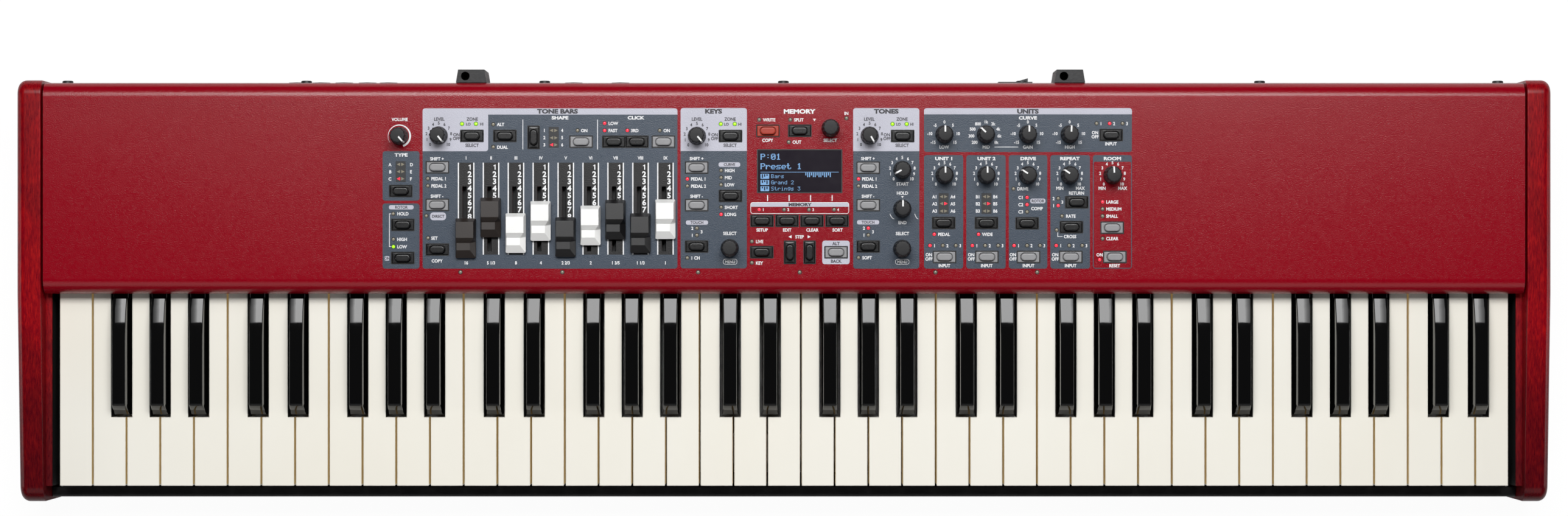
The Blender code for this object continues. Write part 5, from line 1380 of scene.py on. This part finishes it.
# The ring round the master knob: degrees covered, and radii in millimetres
RING_DEGREES = (-125, 160)
RING_OUTER = 8
RING_INNER = (7.9, 6.5)


def bar(x0, y0, x1, y1):
    """A printed line between two pixels, as a thin box outline."""
    return px_box(x0, y0, x1, y1, 0.05 * MM, 1)


def triangle(px, py, size, direction):
    """A small printed arrow; direction is -1 left, 1 right, 0 down."""
    x, y = at(px, py)
    s = size * PIXEL
    if direction == 0:
        return [(x - s, y + 0.7 * s), (x, y - 0.9 * s), (x + s, y + 0.7 * s)]
    return [(x - direction * s, y + s), (x - direction * s, y - s), (x + direction * s, y)][::-direction]


def frame_outlines(x0, y0, x1, y1, width):
    """A rounded printed frame as an outer and an inner outline."""
    radius = 1.6 * MM
    inner = radius - width * PIXEL
    return [px_box(x0, y0, x1, y1, radius),
            px_box(x0 + width, y0 + width, x1 - width, y1 - width, inner)]


def stroke(points, width):
    """Outline of a line of a width through pixels of the photograph."""
    near = []
    far = []
    for i, (u, v) in enumerate(points):
        before = points[max(i - 1, 0)]
        after = points[min(i + 1, len(points) - 1)]
        along = Vector((after[0] - before[0], after[1] - before[1])).normalized()
        across = Vector((-along.y, along.x)) * width / 2
        near.append(at(u + across.x, v + across.y))
        far.append(at(u - across.x, v - across.y))
    return near + far[::-1]


def falling_curve(u, v, wide, high):
    """Points of a curve that falls fast and then runs out."""
    return [(u + wide * i / 8, v + high * (1 - (1 - i / 8) ** 2)) for i in range(9)]


def make_volume_ring():
    """A crescent that grows inwards along its run."""
    x, y = node_middle("knob_master")
    outer, inner = [], []
    for i in range(61):
        share = i / 60
        angle = math.radians(RING_DEGREES[0] + (RING_DEGREES[1] - RING_DEGREES[0]) * share)
        reach = (RING_INNER[0] + (RING_INNER[1] - RING_INNER[0]) * share) * MM
        outer.append((x + RING_OUTER * MM * math.sin(angle), y + RING_OUTER * MM * math.cos(angle)))
        inner.append((x + reach * math.sin(angle), y + reach * math.cos(angle)))
    layer("volume_ring", [outer + inner[::-1]], PRINT_Z, WHITE_INK)


def make_lines():
    lines = [stroke(falling_curve(*place), 1) for place in FALLING_CURVES]
    lines += [bar(*box) for box in PRINTED_BARS]
    lines += [triangle(*place) for place in PRINTED_ARROWS]
    lines += [bar(x - 0.8, TICK_Y[0], x + 0.8, TICK_Y[1]) for x in TICK_X]
    layer("printed_lines", lines, PRINT_Z, WHITE_INK)
    frames = []
    for box in PRINTED_FRAMES:
        frames += frame_outlines(*box)
    layer("printed_frames", frames, PRINT_Z, WHITE_INK)
    printed("list_words", WHITE_INK, "white_plastic", [(C, 4.4, MENU_WORDS)])
    layer("memory_band", [square_foot_box(*MEMORY_BAND)], BLOCK_Z, LIGHT_PAINT)
    unit = [px_box(*UNIT_FRAME, CORNER), px_box(*UNIT_OPENING, 1 * MM)]
    layer("field_unit_5", unit, FIELD_Z, SLATE_PAINT, PANEL_Z - 0.02 * MM)
    make_volume_ring()


# Lamps in the panel
GREEN_LAMPS = [(759.0, 203.6), (782.0, 203.6), (646.5, 405.4), (1184.2, 203.8), (1207.1, 203.8),
               (1466.3, 203.9), (1489.6, 203.9)]
RED_LAMPS = [(993.4, 202.6), (993.4, 214.4), (1030.7, 214.4), (1129.3, 294.1), (1184.7, 352.3),
             (1247.2, 344.4), (1410.5, 294.1), (1426.5, 374.8), (1822.9, 202.9), (1534.9, 385.0),
             (1527.9, 403.5), (1597.4, 403.5), (1666.0, 403.5), (1735.2, 403.5), (1607.6, 385.0),
             (1687.3, 324.4), (1687.3, 336.2), (1738.4, 337.8), (1811.4, 331.8), (1806.6, 426.8)]
OFF_LAMPS = [(810.4, 204.5), (810.4, 241.5), (948.8, 214.4), (1084.0, 214.4), (646.1, 351.2),
             (646.5, 393.3), (702.9, 293.5), (702.9, 305.3), (700.4, 354.7), (703.2, 391.1),
             (1129.3, 305.6), (1144.9, 375.0), (1144.9, 386.5), (1129.3, 423.7), (1184.7, 280.1),
             (1184.7, 291.8), (1184.7, 303.6), (1184.7, 340.6), (1247.4, 196.7), (1298.5, 196.7),
             (1295.9, 233.4), (1390.6, 194.1), (1288.3, 344.4), (1329.1, 344.4), (1370.4, 344.4),
             (1235.2, 396.7), (1235.2, 431.6), (1410.5, 305.6), (1426.5, 386.3), (1410.5, 423.3),
             (1801.5, 202.9), (1844.2, 202.9), (1548.9, 403.5), (1570.3, 403.5), (1618.4, 403.5),
             (1639.8, 403.5), (1687.3, 403.5), (1708.7, 403.5), (1756.5, 403.5), (1777.9, 403.5),
             (1665.0, 310.1), (1687.3, 348.0), (1738.4, 326.0), (1744.7, 355.1), (1735.8, 378.0),
             (1811.4, 343.3), (1811.4, 355.1), (1811.4, 392.0), (756.5, 447.3), (923.9, 447.3),
             (1146.9, 447.3), (1313.8, 447.3), (1536.8, 447.3), (1703.9, 447.3)]
ARROW_WINDOWS = [
    ((658.3, 282.0), (270.2, 282.0, 293.8), (2, -1)), ((909.7, 225.7), (214.4, 226.5, 238.0), (2, -1)),
    ((1550.2, 334.5), (323.2, 334.6, 346.8), (1, 1)), ((1620.7, 334.5), (323.2, 334.6, 346.8), (1, 1)),
]
# Radii and heights in millimetres
LENS_PROFILE = [(1.12, 80), (1.1, 80.29), (0.9, 80.56), (0.5, 80.72)]
RING_PROFILE = [(1.1, 79.7), (1.45, 79.7), (1.5, 80.2), (1.4, 80.32), (1.15, 80.3)]
WINDOW = (6.9 * MM, 14.3 * MM)
WINDOW_FOOT = 79 * MM


def make_lamps():
    rings = bmesh.new()
    groups = (("red", RED_LAMPS, LED_RED), ("green", GREEN_LAMPS, LED_GREEN), ("off", OFF_LAMPS, LED_OFF))
    for word, spots, finish in groups:
        lenses = bmesh.new()
        for spot in spots:
            add_turned(lenses, at(*spot), LENS_PROFILE, 16)
            add_sides(rings, new_rings(rings, turned_rings(at(*spot), RING_PROFILE, 18)), closed=True)
        fixed(f"lamps_{word}", lenses, finish, 60)
    fixed("lamp_rings", rings, LED_RING)


def make_arrow_windows():
    windows = bmesh.new()
    lit, off = [], []
    for centre, rows, lit_place in ARROW_WINDOWS:
        add_prism(windows, centred(at(*centre), WINDOW, 0.25 * MM, 2), WINDOW_FOOT, BLOCK_Z + 0.1 * MM,
                  0.08 * MM, 1)
        for row, py in enumerate(rows):
            for side in (-1, 1):
                group = lit if (row, side) == lit_place else off
                group.append(triangle(centre[0] + side * 3.7, py, 2.7, side))
    fixed("arrow_windows", windows, MATTE_BLACK)
    layer("arrows_lit", lit, BLOCK_Z + 0.16 * MM, LED_RED)
    layer("arrows_off", off, BLOCK_Z + 0.16 * MM, LED_OFF)


# Display: a generic read-out in square pixels; a glyph is seven rows of five bits
GLYPHS = {
    "B": "1E11111E11111E", "G": "0E11101711110F", "P": "1E11111E101010", "S": "0F10100E01011E",
    "a": "00000E010F110F", "d": "01010F1111110F", "e": "00000E111F100E", "g": "000F11110F010E",
    "i": "04000C0404040E", "n": "00001619111111", "r": "00001619101010", "s": "00000F100E011E",
    "t": "08081C08080906", "0": "0E11131519110E", "1": "040C040404040E", "2": "0E11010204081F",
    "3": "1F02040201110E", ":": "00040000040000",
}
BIG_DOT = 0.6 * MM
SMALL_DOT = 0.38 * MM
PIXEL_DEPTH = 0.03 * MM
# In millimetres below the top of the display's text: its lines, and the step between the rows
TITLE_DROP = 6.6
LINE_DROP = 12.6
ROWS_DROP = 14.2
ROW_STEP = 4.3
ROW_WORDS = ("Bars", "Grand 2", "Strings 3")


def add_patch(bm, x, y, z, depth=PIXEL_DEPTH):
    """A square-cornered patch between two places along each axis."""
    add_prism(bm, [(x[0], y[0]), (x[1], y[0]), (x[1], y[1]), (x[0], y[1])], z, z + depth)


def add_pixel_text(bm, text, x, y, dot, z, width=0.92):
    """Text with its upper left corner at a place; a dot's width is a share of the pitch."""
    for index, letter in enumerate(text):
        rows = bytes.fromhex(GLYPHS.get(letter, ""))
        for row, bits in enumerate(rows):
            for column in range(5):
                if bits >> (4 - column) & 1:
                    left = x + (index * 6 + column) * dot
                    top = y - row * dot
                    add_patch(bm, (left, left + width * dot), (top - 0.92 * dot, top), z)


def add_level_bars(bm, left, top, z):
    """A row of short bars that hang from the line, every third one shorter."""
    for i in range(14):
        start = left + (31 + i * 1.3) * MM
        drop = (3.6 if i % 3 else 2.4) * MM
        add_patch(bm, (start, start + 0.7 * MM), (top - drop, top - 0.4 * MM), z)


def add_signs(bm, left, row, y, z):
    """Three dark bars of different heights on the tile before a row."""
    for i in range(3):
        start = left + (0.9 + 1.6 * i) * MM
        drop = ((2.2, 1.4, 0.8)[(i + row) % 3] + 0.4) * MM
        add_patch(bm, (start, start + 0.8 * MM), (y - drop, y + 0.05 * MM), z, 0.05 * MM)


def make_display():
    low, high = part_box("display_window")
    z = high.z
    left, right = low.x + 2 * MM, high.x - 2 * MM
    top = high.y - 2.6 * MM
    line_y = top - LINE_DROP * MM
    lit, signs = bmesh.new(), bmesh.new()
    add_pixel_text(lit, "P:01", left, top, BIG_DOT, z, 1.45)
    add_pixel_text(lit, "Preset 1", left, top - TITLE_DROP * MM, BIG_DOT, z, 1.45)
    add_patch(lit, (left, right), (line_y - 0.3 * MM, line_y), z)
    add_level_bars(lit, left, line_y, z)
    for row, word in enumerate(ROW_WORDS):
        y = top - (ROWS_DROP + ROW_STEP * row) * MM
        add_pixel_text(lit, word, left + 7.4 * MM, y, SMALL_DOT, z)
        tile = rounded_box((left, left + 6 * MM), (y - 3.1 * MM, y + 0.3 * MM), 0.3 * MM, 2)
        add_prism(lit, tile, z, z + PIXEL_DEPTH)
        add_signs(signs, left, row, y, z)
    fixed("display_pixels", lit, PIXELS)
    fixed("display_signs", signs, PANE)
    make_display_rim(low, high)


def make_display_rim(low, high):
    outlines = []
    for by, radius, steps in ((0.5, 0.5, 3), (-0.2, 0.2, 2)):
        x = (low.x - by * MM, high.x + by * MM)
        y = (low.y - by * MM, high.y + by * MM)
        outlines.append(rounded_box(x, y, radius * MM, steps))
    layer("display_rim", outlines, PANEL_Z + 0.12 * MM, MATTE_BLACK, PANEL_Z - 0.3 * MM)


# On the rear wall: places across and up, and profiles as radius and distance out of the wall, in mm
REAR_WALL = 140.5 * MM
SCREW_PX = (106, 500, 893, 1287, 1680, 2073, 2466)
SCREW_PIXEL = PIXEL / MM * 1.004
SCREW_Z = 58
SCREW_PROFILE = [(3.8, 0), (3.8, 1.4), (3.6, 1.9), (3, 2.2), (0.8, 2.2)]
DIN_PLACES = [(-187.3, 40), (-166.9, 40)]
DIN_ANGLES = (0, 45, 90, 135, 180)
DIN_RADIUS = 3.4 * MM
INSERT_PROFILE = [(5.3, -9.3), (5.3, -2.4), (5, -2.1)]
CONTACT_PROFILE = [(0.8, -4), (0.8, -2), (0.65, -1.95)]
USB_PLACE = (-130.9, 40)
USB_TONGUE = ((5.4 * MM, 3 * MM), -9.3 * MM, -1.6 * MM)
INLET_PLACES = [(154.2, 27), (168.2, 27), (161.2, 31)]
INLET_BLADE = ((2 * MM, 4 * MM), -15.3 * MM, -4 * MM)


def to_rear_wall(target, part, x, z):
    """Lays what stands upright at the origin along Y at a place on the wall, and joins it."""
    part.transform(Matrix(((1, 0, 0, x * MM), (0, 0, 1, REAR_WALL), (0, 1, 0, z * MM), (0, 0, 0, 1))))
    join_mesh(target, plain_mesh(part, "part"))


def make_screws():
    bm = bmesh.new()
    for px in SCREW_PX:
        head = bmesh.new()
        add_turned(head, (0, 0), SCREW_PROFILE, 28)
        to_rear_wall(bm, head, (px - CENTRE_PX[0]) * SCREW_PIXEL, SCREW_Z)
    fixed("rear_screws", bm, MATTE_BLACK)


def make_rear_contacts():
    inserts, contacts, tongue = bmesh.new(), bmesh.new(), bmesh.new()
    for place in DIN_PLACES:
        insert, rings = bmesh.new(), bmesh.new()
        add_turned(insert, (0, 0), INSERT_PROFILE, 32)
        for angle in DIN_ANGLES:
            spot = DIN_RADIUS * Vector((math.cos(math.radians(angle)), math.sin(math.radians(angle))))
            add_turned(rings, spot, CONTACT_PROFILE, 14)
        to_rear_wall(inserts, insert, *place)
        to_rear_wall(contacts, rings, *place)
    block = bmesh.new()
    size, low, high = USB_TONGUE
    add_prism(block, centred((0, 0), size, 0.3 * MM, 2), low, high, 0.25 * MM, 2)
    to_rear_wall(tongue, block, *USB_PLACE)
    size, low, high = INLET_BLADE
    for place in INLET_PLACES:
        blade = bmesh.new()
        add_prism(blade, centred((0, 0), size, 0.2 * MM, 1), low, high, 0.4 * MM, 2)
        to_rear_wall(contacts, blade, *place)
    fixed("din_inserts", inserts, MATTE_BLACK)
    fixed("rear_contacts", contacts, ZINC)
    fixed("usb_tongue", tongue, WHITE_PLASTIC)


# Stage
def make_stage():
    bm = bmesh.new()
    bmesh.ops.create_grid(bm, x_segments=1, y_segments=1, size=4)
    mesh = plain_mesh(bm, "floor")
    floor = bpy.data.objects.new("floor", mesh)
    bpy.context.scene.collection.objects.link(floor)
    material = bpy.data.materials.new("pale_floor")
    material.use_nodes = True
    tree = material.node_tree
    shader = tree.nodes["Principled BSDF"]
    shader.inputs["Base Color"].default_value = (0.8, 0.8, 0.8, 1)
    shader.inputs["Roughness"].default_value = 0.9
    glow = tree.nodes.new("ShaderNodeEmission")
    glow.inputs["Color"].default_value = (1, 1, 1, 1)
    glow.inputs["Strength"].default_value = 1.03
    rays = tree.nodes.new("ShaderNodeLightPath")
    scale = tree.nodes.new("ShaderNodeMath")
    scale.operation = "MULTIPLY"
    scale.inputs[1].default_value = 0.93
    mix = tree.nodes.new("ShaderNodeMixShader")
    tree.links.new(rays.outputs["Is Camera Ray"], scale.inputs[0])
    tree.links.new(scale.outputs["Value"], mix.inputs["Fac"])
    tree.links.new(shader.outputs["BSDF"], mix.inputs[1])
    tree.links.new(glow.outputs["Emission"], mix.inputs[2])
    tree.links.new(mix.outputs["Shader"], tree.nodes["Material Output"].inputs["Surface"])
    mesh.materials.append(material)


def make_world():
    world = bpy.data.worlds.new("studio")
    world.use_nodes = True
    background = world.node_tree.nodes["Background"]
    background.inputs["Color"].default_value = (0.86, 0.87, 0.9, 1)
    background.inputs["Strength"].default_value = 0.02
    bpy.context.scene.world = world


def add_area(name, place, target, size, watts):
    lamp = bpy.data.lights.new(name, "AREA")
    lamp.shape = "RECTANGLE"
    lamp.size, lamp.size_y = size
    lamp.energy = watts
    obj = bpy.data.objects.new(name, lamp)
    obj.location = place
    obj.rotation_mode = "QUATERNION"
    obj.rotation_quaternion = (Vector(target) - Vector(place)).to_track_quat("-Z", "Y")
    bpy.context.scene.collection.objects.link(obj)


# Two softboxes stand behind the instrument; the angle is that of each from the vertical
LIGHT_REACH = 2.3
LIGHT_AIM = Vector((0, -0.026, 0.073))
NEAR_ANGLES = (15.3, 34)
FAR_ANGLES = (34, 48)
# The near softbox, and the narrow ones beside it with their watts on the left and on the right
NEAR_WIDTH = 1.44
SIDE_WIDTH = 0.12
SIDE_POWER = [(2.2, 2.4), (1.3, 1.6), (0.8, 1.1), (0.5, 0.8)]


def add_softbox(name, angles, middle_x, width, watts):
    """An area light of a width along X that fills a range of angles behind the vertical."""
    angle = math.radians(sum(angles) / 2)
    toward = Vector((0, math.sin(angle), math.cos(angle)))
    depth = 2 * LIGHT_REACH * math.tan(math.radians(angles[1] - angles[0]) / 2)
    target = LIGHT_AIM + Vector((middle_x, 0, 0))
    add_area(name, target + toward * LIGHT_REACH, target, (width, depth), watts)


def make_lights():
    add_softbox("near_softbox", NEAR_ANGLES, 0, NEAR_WIDTH, 43)
    for step, (left, right) in enumerate(SIDE_POWER):
        middle = NEAR_WIDTH / 2 + SIDE_WIDTH * (step + 0.5)
        add_softbox(f"near_left_{step + 1}", NEAR_ANGLES, -middle, SIDE_WIDTH, left)
        add_softbox(f"near_right_{step + 1}", NEAR_ANGLES, middle, SIDE_WIDTH, right)
    add_softbox("far_softbox", FAR_ANGLES, 0.1, 1.2, 6)
    add_area("front_fill", (0, -1.7, 1.7), (0, 0, 0.07), (3.2, 1.4), 12)
    add_area("left_low", (-2.3, -0.2, 0.5), (0, 0, 0.05), (0.7, 0.5), 5)
    add_area("right_low", (2.3, -0.2, 0.5), (0, 0, 0.05), (0.7, 0.5), 5)


# The camera: its height over the keys, the photograph's scale there and its width in pixels, and
# how many pixels the axis lies below the middle of the picture
LENS_DISTANCE = 2.5
PIXEL_AT_KEYS = 0.4241 * MM
IMAGE_WIDTH = 2576
AXIS_BELOW_MIDDLE = 56


def make_camera():
    camera = bpy.data.cameras.new("camera")
    camera.sensor_width = 36
    camera.lens = 36 * LENS_DISTANCE / (IMAGE_WIDTH * PIXEL_AT_KEYS)
    camera.shift_y = AXIS_BELOW_MIDDLE / IMAGE_WIDTH
    obj = bpy.data.objects.new("camera", camera)
    obj.location = (0, PLAN_SHIFT, KEY["top"] + LENS_DISTANCE)
    bpy.context.scene.collection.objects.link(obj)
    bpy.context.scene.camera = obj


dress_nodes()
for side, word in ((-1, "left"), (1, "right")):
    make_cheek(side, word)
    make_ledge(side, word)
make_white_keys()
make_black_keys()
make_knobs()
make_drawbars()
make_buttons()
make_fields()
make_columns()
make_legends()
make_dials()
make_lines()
make_lamps()
make_arrow_windows()
make_display()
make_screws()
make_rear_contacts()
make_stage()
make_world()
make_lights()
make_camera()
bpy.context.scene.view_settings.view_transform = "Standard"
